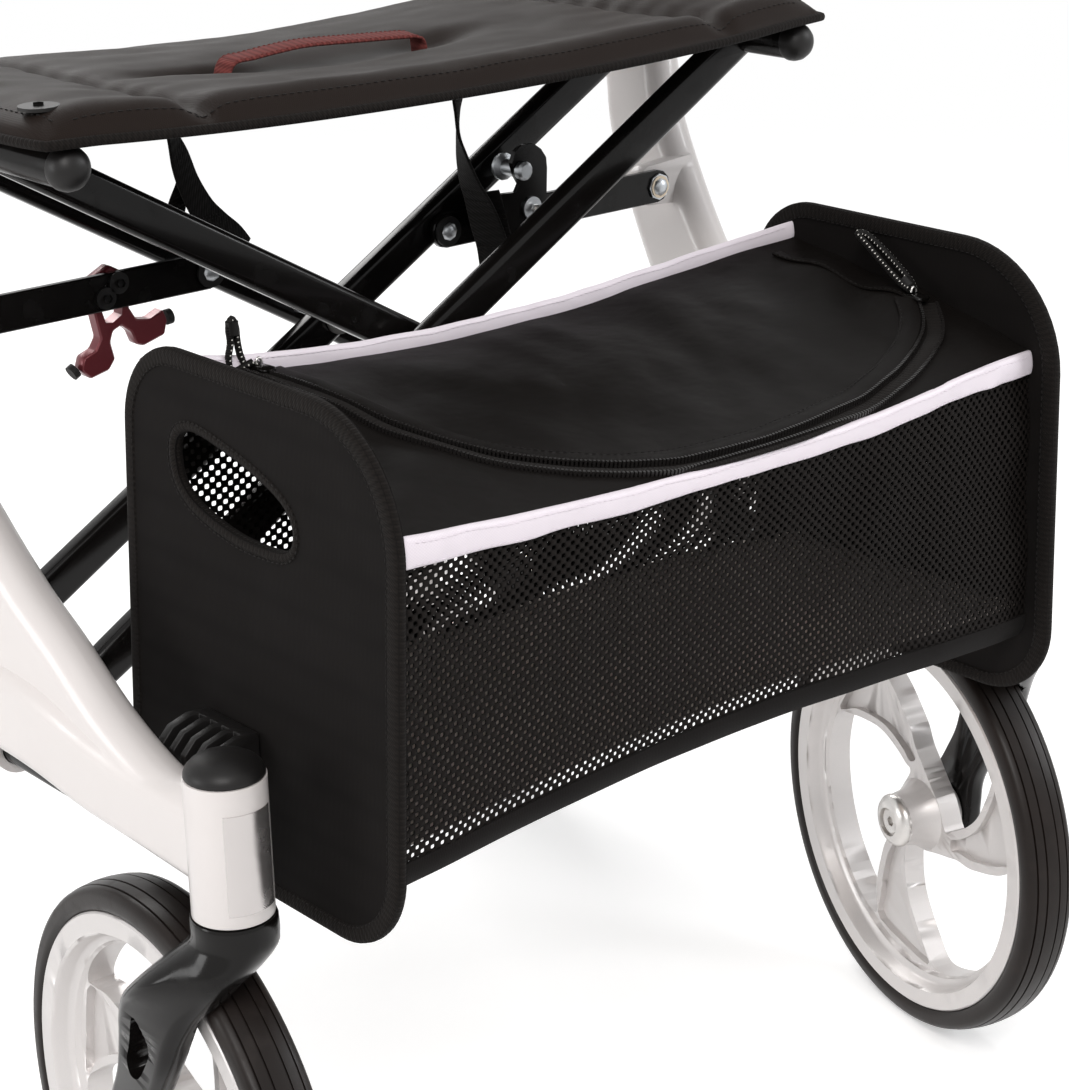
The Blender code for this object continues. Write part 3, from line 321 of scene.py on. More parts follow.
def net(name, colour, across_pitch, along_pitch, openness):
    """Knitted mesh: staggered round holes that show what is behind, and rounded strands between them."""
    made = Finish(name, 0.62, 0.0, {"Specular IOR Level": 0.06})
    across, along = made.parts(made.cloth())[:2]
    field = (across * (math.tau / across_pitch)).cosine() * (along * (math.tau / along_pitch)).cosine()
    knit = made.grain(1500, 2)
    cloud = made.grain(20, 3)
    made.feed("Alpha", 1.0 - (field > openness))
    # Painted shade and highlight: each strand is lighter along its middle and darker towards the holes, as if lit
    # round its curve
    base = made.blend(made.spread(field, 0, 1, -0.6, 0.5), tone(colour, 1.5), tone(colour, 0.5))
    made.feed("Base Color", made.blend(cloud * 0.4, base, tone(colour, 0.7)))
    made.feed("Roughness", 0.52 + knit * 0.2)
    made.feed("Normal", made.bump(0.0 - field + knit * 0.3, 0.6, 0.0004))
    return made.material


def reflective(name, colour, cell, metallic=0.0, gloss=0.38):
    """Reflective ribbon: pale cloth with a fine lattice of beads, creases and grubby edges."""
    made = Finish(name, gloss, metallic)
    across, along = made.parts(made.cloth())[:2]
    turn = math.tau / cell
    lattice = (across * turn).sine() * (along * turn).sine()
    grime = made.spread(made.grain(60, 5), 0, 1, 0.5, 0.85)
    # Painted shade and highlight: the bead lattice is a little lighter on the beads and darker between them
    base = made.blend(made.spread(lattice, 0, 1, -1, 1), tone(colour, 0.96), tone(colour, 1.02))
    made.feed("Base Color", made.blend(grime * 0.18, base, tone(colour, 0.72)))
    made.feed("Roughness", gloss + grime * 0.2)
    normal = made.bump(lattice, 0.25, 0.00008)
    made.feed("Normal", made.bump(made.grain(75, 3), 0.25, 0.0015, normal))
    return made.material


def flecked(name, colour, fleck, pitch):
    """Braided cord with a pale tracer thread."""
    made = Finish(name, 0.6, 0.0, {"Specular IOR Level": 0.15})
    along, around = made.parts(made.cloth())[:2]
    turn = math.tau / pitch
    braid = ((along + around * 0.5) * turn).sine() * ((along - around * 0.5) * turn).sine()
    tracer = ((along * turn).sine() * 0.5 + 0.5) * ((around * (3 * math.tau / 0.0107)).cosine() * 0.5 + 0.5)
    made.feed("Base Color", made.blend(tracer > 0.8, tone(colour), tone(fleck)))
    made.feed("Roughness", 0.55 + made.grain(500, 3) * 0.15)
    made.feed("Normal", made.bump(braid, 0.7, 0.0002))
    return made.material


# ---------------------------------------------------------------- shapes


def smooth_values(rows, steps, closed=False):
    rows = [tuple(row) for row in rows]
    count, found = len(rows), []
    for i in range(count if closed else count - 1):
        if closed:
            before, start, end, after = (rows[(i + k) % count] for k in (-1, 0, 1, 2))
        else:
            start, end = rows[i], rows[i + 1]
            before = rows[i - 1] if i else tuple(2 * a - b for a, b in zip(start, end))
            after = rows[i + 2] if i + 2 < count else tuple(2 * b - a for a, b in zip(start, end))
        for k in range(steps):
            t = k / steps
            found.append(tuple(
                b + 0.5 * t * ((c - a) + t * (2 * a - 5 * b + 4 * c - d + t * (3 * b - a - 3 * c + d)))
                for a, b, c, d in zip(before, start, end, after)
            ))
    return found if closed else found + [rows[-1]]


def rounded_box(width, depth, corner, steps=4):
    points = []
    for quarter in range(4):
        cx = (width / 2 - corner) * (1, -1, -1, 1)[quarter]
        cy = (depth / 2 - corner) * (1, 1, -1, -1)[quarter]
        for k in range(steps + 1):
            angle = math.pi / 2 * (quarter + k / steps)
            points.append((cx + corner * math.cos(angle), cy + corner * math.sin(angle)))
    return points


def circle(radius, segments=32):
    angles = [math.tau * k / segments for k in range(segments)]
    return [(radius * math.cos(angle), radius * math.sin(angle)) for angle in angles]


def skin(rings, loop=False):
    """A closed skin over rings with the same number of points, as a tube with two ends or as a loop."""
    mesh = bmesh.new()
    made = [[mesh.verts.new(point) for point in ring] for ring in rings]
    count = len(made[0])
    pairs = list(zip(made, made[1:] + made[:1] if loop else made[1:]))
    for first, second in pairs:
        for k in range(count):
            mesh.faces.new((first[k], first[(k + 1) % count], second[(k + 1) % count], second[k]))
    if not loop:
        mesh.faces.new(made[0][::-1])
        mesh.faces.new(made[-1])
    return mesh


def heading(path, k, loop=False):
    """Direction of a path at its point k, from the points before and after it."""
    last = len(path) - 1
    before, after = (k - 1, (k + 1) % len(path)) if loop else (max(k - 1, 0), min(k + 1, last))
    return (path[after] - path[before]).normalized()


def swept(path, flat, outline_of):
    """An outline carried along a path, with its depth always along the flat direction."""
    rings = []
    for k, here in enumerate(path):
        across = flat.cross(heading(path, k)).normalized()
        rings.append([here + across * a + flat * b for a, b in outline_of(k)])
    return skin(rings)


def tube_along(path, radius, segments=10):
    """A round tube along any path, with its frame carried along so that it doesn't twist."""
    rings, side = [], None
    for k, here in enumerate(path):
        ahead = heading(path, k)
        side = ahead.orthogonal() if side is None else side - ahead * side.dot(ahead)
        side.normalize()
        other = ahead.cross(side)
        size = radius(k) if callable(radius) else radius
        rings.append([here + side * a + other * b for a, b in circle(size, segments)])
    return skin(rings)


def flat_tube(stations, flat, steps, corner, corner_steps=6):
    rows = smooth_values(stations, steps)
    path = [Vector(row[:3]) for row in rows]

    def section(k):
        width, depth = rows[k][3:]
        return rounded_box(width, depth, min(corner, depth * 0.49), corner_steps)

    return swept(path, flat, section)


def prism(outline, axis, low, high):
    order = {"x": (2, 0, 1), "y": (0, 2, 1), "z": (0, 1, 2)}[axis]
    return skin([[[(a, b, level)[k] for k in order] for a, b in outline] for level in (low, high)])


def rod(start, end, radius, segments=40):
    start, end = Vector(start), Vector(end)
    along = (end - start).normalized()
    side = along.orthogonal().normalized()
    other = along.cross(side)
    outline = circle(radius, segments)
    return skin([[centre + side * a + other * b for a, b in outline] for centre in (start, end)])


def turned(profile, axis, segments=64, closed=True):
    """A profile of (radius, height) points turned round an axis through zero; a radius of 0 makes a pole."""
    side = axis.orthogonal().normalized()
    other = axis.cross(side)
    mesh, rings = bmesh.new(), []
    for radius, height in profile:
        points = [(0, 0)] if radius == 0 else circle(radius, segments)
        rings.append([mesh.verts.new(axis * height + side * a + other * b) for a, b in points])
    pairs = list(zip(rings, rings[1:])) + ([(rings[-1], rings[0])] if closed else [])
    for first, second in pairs:
        for k in range(segments):
            n = (k + 1) % segments
            if len(first) == 1:
                corners = [first[0], second[n], second[k]]
            elif len(second) == 1:
                corners = [first[k], first[n], second[0]]
            else:
                corners = [first[k], first[n], second[n], second[k]]
            mesh.faces.new(corners)
    return mesh


def moved(mesh, by):
    bmesh.ops.translate(mesh, vec=by, verts=mesh.verts)
    return mesh


def turned_about(mesh, angle, axis):
    bmesh.ops.rotate(mesh, cent=Vector(), matrix=Matrix.Rotation(angle, 3, axis), verts=mesh.verts)
    return mesh


def linked(name, data):
    obj = bpy.data.objects.new(name, data)
    bpy.context.scene.collection.objects.link(obj)
    return obj


def piece(name, mesh, look=None, angle=36):
    """A finished object in metres at the origin, from a bmesh in millimetres."""
    bmesh.ops.recalc_face_normals(mesh, faces=mesh.faces)
    bmesh.ops.scale(mesh, vec=(MM, MM, MM), verts=mesh.verts)
    data = bpy.data.meshes.new(name)
    mesh.to_mesh(data)
    mesh.free()
    return shaded(linked(name, data), look, angle)


def shaded(obj, look, angle=36):
    if look:
        obj.data.materials.clear()
        obj.data.materials.append(LOOKS[look])
    obj.data.shade_smooth()
    obj.data.set_sharp_from_angle(angle=math.radians(angle))
    return obj


def bake(obj, look=None, angle=36):
    """Puts what the modifiers make into the mesh and removes them."""
    bpy.context.view_layer.update()
    graph = bpy.context.evaluated_depsgraph_get()
    obj.data = bpy.data.meshes.new_from_object(obj.evaluated_get(graph))
    obj.modifiers.clear()
    return shaded(obj, look, angle)


def combine(obj, meshes, operation="UNION"):
    others = []
    for mesh in meshes:
        others.append(piece("cutter", mesh))
        modifier = obj.modifiers.new(operation.title(), "BOOLEAN")
        modifier.operation, modifier.object = operation, others[-1]
    look = obj.data.materials[0].name if obj.data.materials else None
    bake(obj, look)
    for other in others:
        bpy.data.objects.remove(other, do_unlink=True)
    return obj


def softened(obj, width, segments=2, angle=35):
    modifier = obj.modifiers.new("Bevel", "BEVEL")
    modifier.width, modifier.segments = width * MM, segments
    modifier.limit_method, modifier.angle_limit = "ANGLE", math.radians(angle)
    return bake(obj, obj.data.materials[0].name, 50)


def surface(name, rows, look, thick, uv, rounds=0):
    """A cloth sheet from rows of points in millimetres, thickened both ways, with its UV map in metres."""
    data = bpy.data.meshes.new(name)
    high, wide = len(rows), len(rows[0])
    points = [Vector(point) * MM for row in rows for point in row]
    faces = []
    for j in range(high - 1):
        for i in range(wide - 1):
            a = j * wide + i
            faces.append((a, a + 1, a + wide + 1, a + wide))
    data.from_pydata(points, [], faces)
    layer = data.uv_layers.new(name="Cloth")
    for loop in data.loops:
        j, i = divmod(loop.vertex_index, wide)
        layer.data[loop.index].uv = uv(j, i)
    obj = linked(name, data)
    solid = obj.modifiers.new("Thickness", "SOLIDIFY")
    solid.thickness, solid.offset, solid.use_even_offset = thick * MM, 0.0, False
    if rounds:
        finer = obj.modifiers.new("Rounding", "SUBSURF")
        finer.levels = finer.render_levels = rounds
    return bake(obj, look, 50)


def area_of(rows):
    """Area of one face of a cloth sheet, in square metres."""
    total = 0.0
    for first, second in zip(rows, rows[1:]):
        for k in range(len(first) - 1):
            a, b, c, d = (Vector(p) for p in (first[k], first[k + 1], second[k + 1], second[k]))
            total += ((b - a).cross(c - a).length + (c - a).cross(d - a).length) / 2
    return total * 1e-6


def band(name, path, sideways, look, width, thick, loop=False, corner=None):
    """A flat tape along a path: its width lies along the sideways direction, which each point may set."""
    path = [Vector(p) for p in path]
    section = rounded_box(width, thick, corner or thick * 0.48, 2)
    rings, lengths, total = [], [], 0.0
    for k, here in enumerate(path):
        ahead = heading(path, k, loop)
        side = Vector(sideways(k) if callable(sideways) else sideways)
        side = (side - ahead * side.dot(ahead)).normalized()
        up = ahead.cross(side)
        rings.append([here + side * a + up * b for a, b in section])
        total += (here - path[k - 1]).length if k else 0.0
        lengths.append(total)
    mesh = skin(rings, loop)
    mesh.verts.index_update()
    layer = mesh.loops.layers.uv.new("Cloth")
    size = len(section)
    for face in mesh.faces:
        places = [divmod(turn.vert.index, size) for turn in face.loops]
        wrap = loop and max(j for j, i in places) - min(j for j, i in places) > 1
        for turn, (j, i) in zip(face.loops, places):
            run = total + (path[0] - path[-1]).length if wrap and j == 0 else lengths[j]
            turn[layer].uv = (run * MM, section[i][0] * MM)
    return piece(name, mesh, look, 60)


# ---------------------------------------------------------------- repeats by Geometry Nodes


def new_tree(name, sizes, materials):
    """An empty tree with geometry in and out, named sizes in metres and named materials."""
    tree = bpy.data.node_groups.new(name, "GeometryNodeTree")
    face = tree.interface
    face.new_socket(name="Geometry", in_out="INPUT", socket_type="NodeSocketGeometry")
    for label, value in sizes:
        face.new_socket(name=label, in_out="INPUT", socket_type="NodeSocketFloat").default_value = value
    for label in materials:
        face.new_socket(name=label, in_out="INPUT", socket_type="NodeSocketMaterial")
    face.new_socket(name="Geometry", in_out="OUTPUT", socket_type="NodeSocketGeometry")

    def add(kind, inputs=None, settings=None):
        return add_node(tree, kind, settings, inputs).outputs[0]

    return tree, add_node(tree, "NodeGroupInput").outputs, add


def repeat_tree(name, shape):
    """Tree that sets a small body at even steps along the edges it is given: stitches or zip teeth."""
    sizes = (("Spacing", 0.003), ("Length", 0.002), ("Width", 0.0005), ("Height", 0.0004))
    tree, given, add = new_tree(name, sizes, ("Material",))
    curve = add("GeometryNodeMeshToCurve", {0: given["Geometry"]})
    steps = add("GeometryNodeResampleCurve", {"Curve": curve, "Length": given["Spacing"]}, {"mode": "LENGTH"})
    if shape == "stitch":
        body = add("GeometryNodeMeshUVSphere", {"Segments": 6, "Rings": 4, "Radius": 0.5})
    else:
        body = add("GeometryNodeMeshCube", {"Size": (1, 1, 1)})
    scale = add("ShaderNodeCombineXYZ", {0: given["Length"], 1: given["Width"], 2: given["Height"]})
    axes = {0: add("GeometryNodeInputTangent"), 1: add("GeometryNodeInputNormal")}
    turn = add("FunctionNodeAxesToRotation", axes, {"primary_axis": "X", "secondary_axis": "Z"})
    placing = {"Points": steps, "Instance": body, "Scale": scale, "Rotation": turn}
    real = add("GeometryNodeRealizeInstances", {0: add("GeometryNodeInstanceOnPoints", placing)})
    paint = add("GeometryNodeSetMaterial", {"Geometry": real, "Material": given["Material"]})
    add_node(tree, "NodeGroupOutput", inputs={0: paint})
    return tree


def bolt_tree():
    """Tree that puts a domed, socketed screw head with a washer on each point, facing along its attribute."""
    sizes = (("Head", 0.006), ("Dome", 0.0035), ("Washer", 0.008), ("Socket", 0.0026))
    tree, given, add = new_tree("Screw heads", sizes, ("Material", "Washer material"))
    ball = add("GeometryNodeMeshUVSphere", {"Segments": 28, "Rings": 16, "Radius": 1.0})
    plate = add("GeometryNodeMeshCylinder", {"Vertices": 32, "Depth": 0.0016, "Radius": given["Washer"]})
    key = add("GeometryNodeMeshCylinder", {"Vertices": 6, "Depth": 1.0, "Radius": given["Socket"]})
    scale = add("ShaderNodeCombineXYZ", {0: given["Head"], 1: given["Head"], 2: given["Dome"]})
    head = add("GeometryNodeTransform", {"Geometry": ball, "Scale": scale})
    deep = add("ShaderNodeMath", {0: given["Dome"], 1: 0.45, 2: 0.5}, {"operation": "MULTIPLY_ADD"})
    dig = add("GeometryNodeTransform", {"Geometry": key, "Translation": add("ShaderNodeCombineXYZ", {2: deep})})
    cut = add("GeometryNodeMeshBoolean", {0: head, 1: dig}, {"operation": "DIFFERENCE"})
    both = [
        add("GeometryNodeSetMaterial", {"Geometry": cut, "Material": given["Material"]}),
        add("GeometryNodeSetMaterial", {"Geometry": plate, "Material": given["Washer material"]}),
    ]
    facing = add("GeometryNodeInputNamedAttribute", {"Name": "facing"}, {"data_type": "FLOAT_VECTOR"})
    turn = add("FunctionNodeAlignRotationToVector", {"Vector": facing}, {"axis": "Z"})
    joined = add("GeometryNodeJoinGeometry", {0: both})
    placing = {"Points": given["Geometry"], "Instance": joined, "Rotation": turn}
    real = add("GeometryNodeRealizeInstances", {0: add("GeometryNodeInstanceOnPoints", placing)})
    add_node(tree, "NodeGroupOutput", inputs={0: real})
    return tree


def grown(obj, tree, values, look, angle):
    """Runs a tree on an object and keeps what it makes as a plain mesh."""
    modifier = obj.modifiers.new("Repeat", "NODES")
    modifier.node_group = tree
    for item in tree.interface.items_tree:
        if item.in_out == "INPUT" and item.name in values:
            modifier[item.identifier] = values[item.name]
    return bake(obj, look, angle)


def lines_object(name, lines, loop=False):
    """Bare edges in metres from lists of points in millimetres, for a tree to work along."""
    points, edges = [], []
    for line in lines:
        first = len(points)
        points += [Vector(point) * MM for point in line]
        edges += [(k, k + 1) for k in range(first, len(points) - 1)]
        if loop:
            edges.append((len(points) - 1, first))
    data = bpy.data.meshes.new(name)
    data.from_pydata(points, edges, [])
    return linked(name, data)


def tree_named(kind):
    if kind not in TREES:
        TREES[kind] = bolt_tree() if kind == "bolt" else repeat_tree(kind.title(), kind)
    return TREES[kind]


def stitches(name, lines, look, spacing, length, width, height, loop=False, kind="stitch", angle=80):
    """A row of stitches or zip teeth along lines of points; all sizes are in millimetres."""
    values = {
        "Spacing": spacing * MM, "Length": length * MM, "Width": width * MM, "Height": height * MM,
        "Material": LOOKS[look],
    }
    return grown(lines_object(name, lines, loop), tree_named(kind), values, look, angle)


def screw_heads(name, places, head, dome, washer, socket, look, washer_look):
    """Screw heads at (point, facing) pairs in millimetres, as one piece."""
    data = bpy.data.meshes.new(name)
    data.from_pydata([Vector(point) * MM for point, facing in places], [], [])
    facings = data.attributes.new("facing", "FLOAT_VECTOR", "POINT")
    for k, (point, facing) in enumerate(places):
        facings.data[k].vector = Vector(facing)
    values = {
        "Head": head * MM, "Dome": dome * MM, "Washer": washer * MM, "Socket": socket * MM,
        "Material": LOOKS[look], "Washer material": LOOKS[washer_look],
    }
    return grown(linked(name, data), tree_named("bolt"), values, None, 40)


def dressed(obj, body, slot, *nodes):
    """Sets a finished piece on its body and hides the plain nodes that it stands for; the slot is not used."""
    if nodes:
        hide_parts(*nodes)
    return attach(obj, body)


# ---------------------------------------------------------------- rigid pieces


def post_axis(side):
    return Vector((side * UPPER_X, *TUBE_TOP.yz)), Vector((0, math.sin(POST_LEAN), math.cos(POST_LEAN)))


def side_frame(name, side):
    """One side's welded tubes: head tube, swept main tube, tube back to the rear wheel, lugs and bores."""
    top, along = post_axis(side)

    def upper(below, width, depth):
        return (*(top - along * below), width, depth)

    near = side * ARM_X
    main = [
        (near, -290, 303, 37, 24), (near, -250, 303.5, 39, DEPTH), (near, -203, 315.5, 51, DEPTH),
        (side * 249, -165, 337.5, 58, DEPTH), (side * 250, -133, 357, 60, DEPTH),
        (side * 250, -94, 386.5, 60, DEPTH), (side * 250, -58.7, 419.4, 58, DEPTH),
        (side * 257, -14, 491, 52, 26), (side * 262, 0, 534, 50, 26), upper(215, 46, 27),
        upper(130, 38, 28), upper(50, 34, 29), upper(0, 34, 29),
    ]
    low = side * LOWER_TUBE_X
    lower = [
        (near, -287, 299, 40, 24), (side * 249, -240, 302, 40, DEPTH), (side * 252, -202, 307.5, 43, DEPTH),
        (side * 255, -160, 316, 45, DEPTH), (low, -105, 317.5, 44, DEPTH), (low, -40, 314.5, 40, DEPTH),
        (low, 30, 312, 38, DEPTH), (side * 255, 90, 300, 38, DEPTH), (side * 253, 150, 268, 38, 24),
        (side * 251, 195, 215, 36, 23), (side * AXLE_X, 222, 160, 34, 22), (side * AXLE_X, 230, 104, 32, 22),
    ]
    made = piece(name, flat_tube(main, X, 8, 12), "warm white paint")
    axle = Vector((side * AXLE_X, *REAR_AXLE.yz))
    lug_y = LINK_Y["near" if side < 0 else "far"] + 2 + GAP
    tab = [(side * 256, LINK_Z + 13.5), (side * 256, LINK_Z - 13.5)]
    for k in range(25):
        angle = math.radians(-70 + 140 * k / 24)
        tab.append((side * (LINK_OUTER - 12 * math.cos(angle)), LINK_Z + 12 * math.sin(angle)))
    rest = RAIL_Z - RAIL_RADIUS - 2 * GAP
    saddle = [
        (side * (UPPER_X - 4), RAIL_Z - 38), (side * (UPPER_X - 4), rest), (side * (RAIL_X - 12), rest),
        (side * (RAIL_X - 13), RAIL_Z - 18),
    ]
    neck = [
        (side * 230, LOW_Z + 6), (side * 260, LOW_Z + 4), (side * 260, LOW_Z + 26), (side * 248, LOW_Z + 26),
    ]
    parts = [
        flat_tube(lower, X, 6, 10), rod(axle - X * side * 11, axle + X * side * 14, 17),
        rod((near, HEAD_Y, HEAD_BOTTOM), (near, HEAD_Y, HEAD_TOP), HEAD_RADIUS, 64),
        prism(tab, "y", lug_y, lug_y + 9), prism(saddle, "y", 6, 24),
    ]
    for y in (-92, 10):
        parts.append(rod((side * LOW_X, y - 8, LOW_Z), (side * LOW_X, y + 8, LOW_Z), RAIL_RADIUS + 4.5, 36))
        parts.append(prism(neck, "y", y - 8, y + 8))
    combine(made, parts)
    cuts = [
        rod(top + along * 20, top - along * POST_DEPTH, POST_BORE),
        rod((side * LOW_X, -200, LOW_Z), (side * LOW_X, 60, LOW_Z), RAIL_RADIUS + 0.4),
        rod((side * LINK_OUTER, -70, LINK_Z), (side * LINK_OUTER, 0, LINK_Z), BOLT_RADIUS + GAP, 20),
        rod(axle - X * 30, axle + X * 30, AXLE_RADIUS + GAP, 24),
        rod((near, HEAD_Y, HEAD_BOTTOM - 5), (near, HEAD_Y, HEAD_TOP + 5), 7, 24),
        rod((side * AXLE_X, *BRAKE_PIVOT), (side * (AXLE_X + 40), *BRAKE_PIVOT), BOLT_RADIUS + GAP, 20),
    ]
    combine(made, cuts, "DIFFERENCE")
    return softened(made, 0.7, 2, 42)


def brace(name, top_side, legs_y):
    """Two legs, a seat rail and a lower rail, welded up."""
    rail_x, low_x = top_side * RAIL_X, -top_side * LOW_X
    rail = rod((rail_x, RAIL_FRONT, RAIL_Z), (rail_x, RAIL_REAR, RAIL_Z), RAIL_RADIUS)
    made = piece(name, rail, "gloss black paint")
    parts = [rod((low_x, -153, LOW_Z), (low_x, 24, LOW_Z), RAIL_RADIUS)]
    for y in legs_y:
        ends = [(222, 567), (110, 501.2), (0, CROSSING_Z), (-110, 372), (-196, 321.5)]
        stations = [(top_side * x, y, z, 20, 12) for x, z in ends]
        for x, z, width in ((213, 310.8, 16), (222, 302, 13), (227, 291, 12), (230, 281, 12)):
            stations.append((-top_side * x, y, z, width, 12))
        parts.append(flat_tube(stations, Y, 4, 4, 5))
    combine(made, parts)
    holes = [
        rod((rail_x, RAIL_FRONT - 1, RAIL_Z), (rail_x, RAIL_FRONT + 14, RAIL_Z), 7.4, 24),
        rod((rail_x, RAIL_REAR - 14, RAIL_Z), (rail_x, RAIL_REAR + 1, RAIL_Z), 7.4, 24),
        rod((0, -150, CROSSING_Z), (0, 20, CROSSING_Z), BOLT_RADIUS + GAP, 20),
    ]
    combine(made, holes, "DIFFERENCE")
    return softened(made, 0.5, 2, 42)


def fork(name, side, yaw):
    """One-sided fork: crown under the head tube, swept arm over the tyre with its window."""
    levels = [
        (269.7, 0, 0, 37, 37, 0, 18.4), (267.5, 0, 0, 38, 38, 0, 19), (260, 0, 0, 38.4, 38.4, 0, 19),
        (255, 1.5, 1.5, 40, 39, 6, 18), (248, 7, 5.5, 39, 42, 18, 16), (240, 13.5, 11, 34, 45, 28, 13),
        (231, 18.5, 18, 28, 46, 26, 11), (221, 22, 26, 22, 46, 14, 9), (208, 24.2, 33, 17, 45, 5, 7),
        (193, 24.8, 39, 14.5, 43, 0, 6), (176, 24.5, 47, 13.5, 37, 0, 5.5), (160, 24.2, 57, 13.2, 34, 0, 5.5),
        (146, 24.2, 64.5, 13.2, 35, 0, 5.5), (132, 24.2, 67, 13.2, 36.5, 0, 5.5),
        (119, 24.2, 67.2, 13.2, 34, 0, 5.5), (110, 24.2, 67.4, 12.8, 24, 0, 5), (106.5, 24.2, 67.5, 11, 12, 0, 4),
    ]
    rings = []
    for height, out, back, across, along, lean, corner in smooth_values(levels, 5):
        angle = math.radians(lean)
        corner = min(corner, across * 0.49, along * 0.49)
        ring = []
        for a, b in rounded_box(across, along, corner, 7):
            x = out + a * math.cos(angle) + b * math.sin(angle)
            ring.append((side * x, back - a * math.sin(angle) + b * math.cos(angle), height))
        rings.append(ring)
    made = piece(name, skin(rings), "gloss black paint", 50)
    inner, outer = FRONT_RADIUS - 6, FRONT_RADIUS + 3
    room = turned([(0, -18.5), (inner, -18.5), (outer, -9), (outer, 9), (inner, 18.5), (0, 18.5)], X, 96, False)
    moved(room, Vector((0, TRAIL, FRONT_RADIUS)))
    kite = [(37, 214), (31, 209), (27, 202), (29, 195), (40, 181), (48, 179), (50, 186), (45, 197)]
    cuts = [
        room, prism(smooth_values(kite, 4, True), "x", side * 10, side * 45),
        rod((side * 10, TRAIL, FRONT_RADIUS), (side * 40, TRAIL, FRONT_RADIUS), AXLE_RADIUS + GAP, 24),
    ]
    combine(made, cuts, "DIFFERENCE")
    combine(made, [rod((0, 0, 262), (0, 0, HEAD_TOP - 4), 6.6, 24)])
    softened(made, 0.9, 3, 45)
    place = Matrix.Translation(Vector((side * ARM_X, HEAD_Y, 0)) * MM)
    made.data.transform(place @ Matrix.Rotation(-yaw, 4, "Z"))
    return made


def polar_loop(points):
    flat = [(r * math.cos(math.radians(a)), r * math.sin(math.radians(a))) for r, a in points]
    return smooth_values(flat, 4, True)


def spoke_edges(scale, inset=0.0):
    """Leading and trailing edge of one swept spoke, as (radius, degrees)."""
    leading = [(25, -14), (33, -32), (40, -40), (50, -44), (59, -48.5), (70, -53), (80, -57), (93, -63)]
    trailing = [(25, -57), (31, -63), (38, -68), (48, -74), (58, -80), (68, -87), (80, -94), (93, -101)]
    edges = []
    for edge, sign in ((leading, -1), (trailing, 1)):
        edges.append([(r * scale, a + sign * math.degrees(inset / (r * scale))) for r, a in edge])
    return edges


def rim_blank(radius, segments):
    """The cast rim about zero, in millimetres: deep barrel, hub and three twin-ribbed swept spokes."""
    scale, seat = radius / FRONT_RADIUS, radius - 12.4
    inner, outer = -1.0, 12.0
    profile = [
        (5.4, -18), (13.6, -18), (15, -16.8), (16.5, -8), (21, inner), (90 * scale, inner), (94.5 * scale, -2),
        (96.2 * scale, -4.6), (98.6 * scale, -5.6), (100 * scale, -7.4), (101 * scale, -12.6),
        (102.4 * scale, -14.3), (seat - 1.2, -14.5), (seat - GAP, -13.6), (seat - GAP, 13.6), (seat - 1.2, 14.5),
        (102.4 * scale, 14.4), (100.6 * scale, 13.4), (97 * scale, outer), (21, outer), (16.5, 15), (15, 17.4),
        (13.6, 18), (5.4, 18),
    ]
    made = piece("rim", turned(profile, X, segments), "silver lacquer")
    leading, trailing = spoke_edges(scale)
    far_side = [(r, a - 120) for r, a in leading]
    rim = [(95.0 * scale, a) for a in (-114, -126, -138, -150, -162, -174)]
    window = polar_loop(trailing + rim + far_side[::-1] + [(21.5 * scale, -98)])
    leading, trailing = spoke_edges(scale, 5.6)
    pocket = polar_loop(trailing[1:] + leading[:0:-1])
    cuts = []
    for k in range(3):
        for outline, low, high in ((window, -22, 22), (pocket, -22, 3.0), (pocket, 8.0, 22)):
            cuts.append(turned_about(prism(outline, "x", low, high), math.radians(120 * k), X))
    combine(made, cuts, "DIFFERENCE")
    return softened(made, 1.1, 3, 32)


def tyre_blank(radius, segments):
    seat, r = radius - 12.4, radius
    half = [
        (seat, -13.2), (seat + 1.2, -14.6), (seat + 3.6, -15), (r - 5.0, -14.8), (r - 2.8, -13.6), (r - 1.7, -11.9),
        (r - 1.3, -10.2), (r - 2.1, -10.0), (r - 2.1, -9.4), (r - 0.95, -9.2), (r - 0.5, -6.4), (r - 0.35, -4.5),
        (r - 1.1, -4.3), (r - 1.1, -3.7), (r - 0.15, -3.5),
    ]
    return piece("tyre", turned(half + [(r, 0)] + [(a, -h) for a, h in half[::-1]], X, segments), "tyre rubber", 40)


def axle_blank():
    """Axle with a plated dome cap and a socketed screw at its centre, at -X."""
    profile = [
        (0, -21.6), (5.6, -21.6), (6.3, -22.0), (6.9, -22.0), (7.3, -21.2), (7.9, -21.2), (8.4, -23.6),
        (11.5, -22.7), (14.0, -21.2), (15.4, -19.4), (15.6, -18.3), (5, -18.3), (5, 32), (0, 32),
    ]
    made = piece("axle", turned(profile, X, 48, closed=False), "plated steel", 30)
    key = [(3.1 * math.cos(math.tau * k / 6), 3.1 * math.sin(math.tau * k / 6)) for k in range(6)]
    return combine(made, [prism(key, "x", -30, -19.2)], "DIFFERENCE")


def placed(blank, name, at, turn=0.0, spin=0.0, flip=False):
    """A copy of a blank spun on its own axle, turned about Z and moved to its place."""
    data = blank.data.copy()
    place = Matrix.Translation(Vector(at) * MM) @ Matrix.Rotation(turn + (math.pi if flip else 0), 4, "Z")
    data.transform(place @ Matrix.Rotation(spin, 4, "X"))
    return linked(name, data)


def block(centre, size, corner, steps=6):
    width, depth, height = size
    return moved(prism(rounded_box(width, depth, corner, steps), "z", -height / 2, height / 2), Vector(centre))


def handle_post(name, side):
    """Bent post that slides in the upright: up along it, then back into the grip."""
    top, along = post_axis(side)
    rise = top + along * POST_OUT
    rows = [tuple(top - along * (POST_DEPTH - 30)), tuple(top), tuple(rise)]
    rows += [tuple(rise + Vector((0, y, z))) for y, z in ((3, 10), (12, 19), (26, 22.1), (66, 22.5))]
    path = [Vector(rows[0])] + [Vector(row) for row in smooth_values(rows[1:], 6)]
    return piece(name, swept(path, X, lambda k: circle(POST_RADIUS, 36)), "silver lacquer", 40)


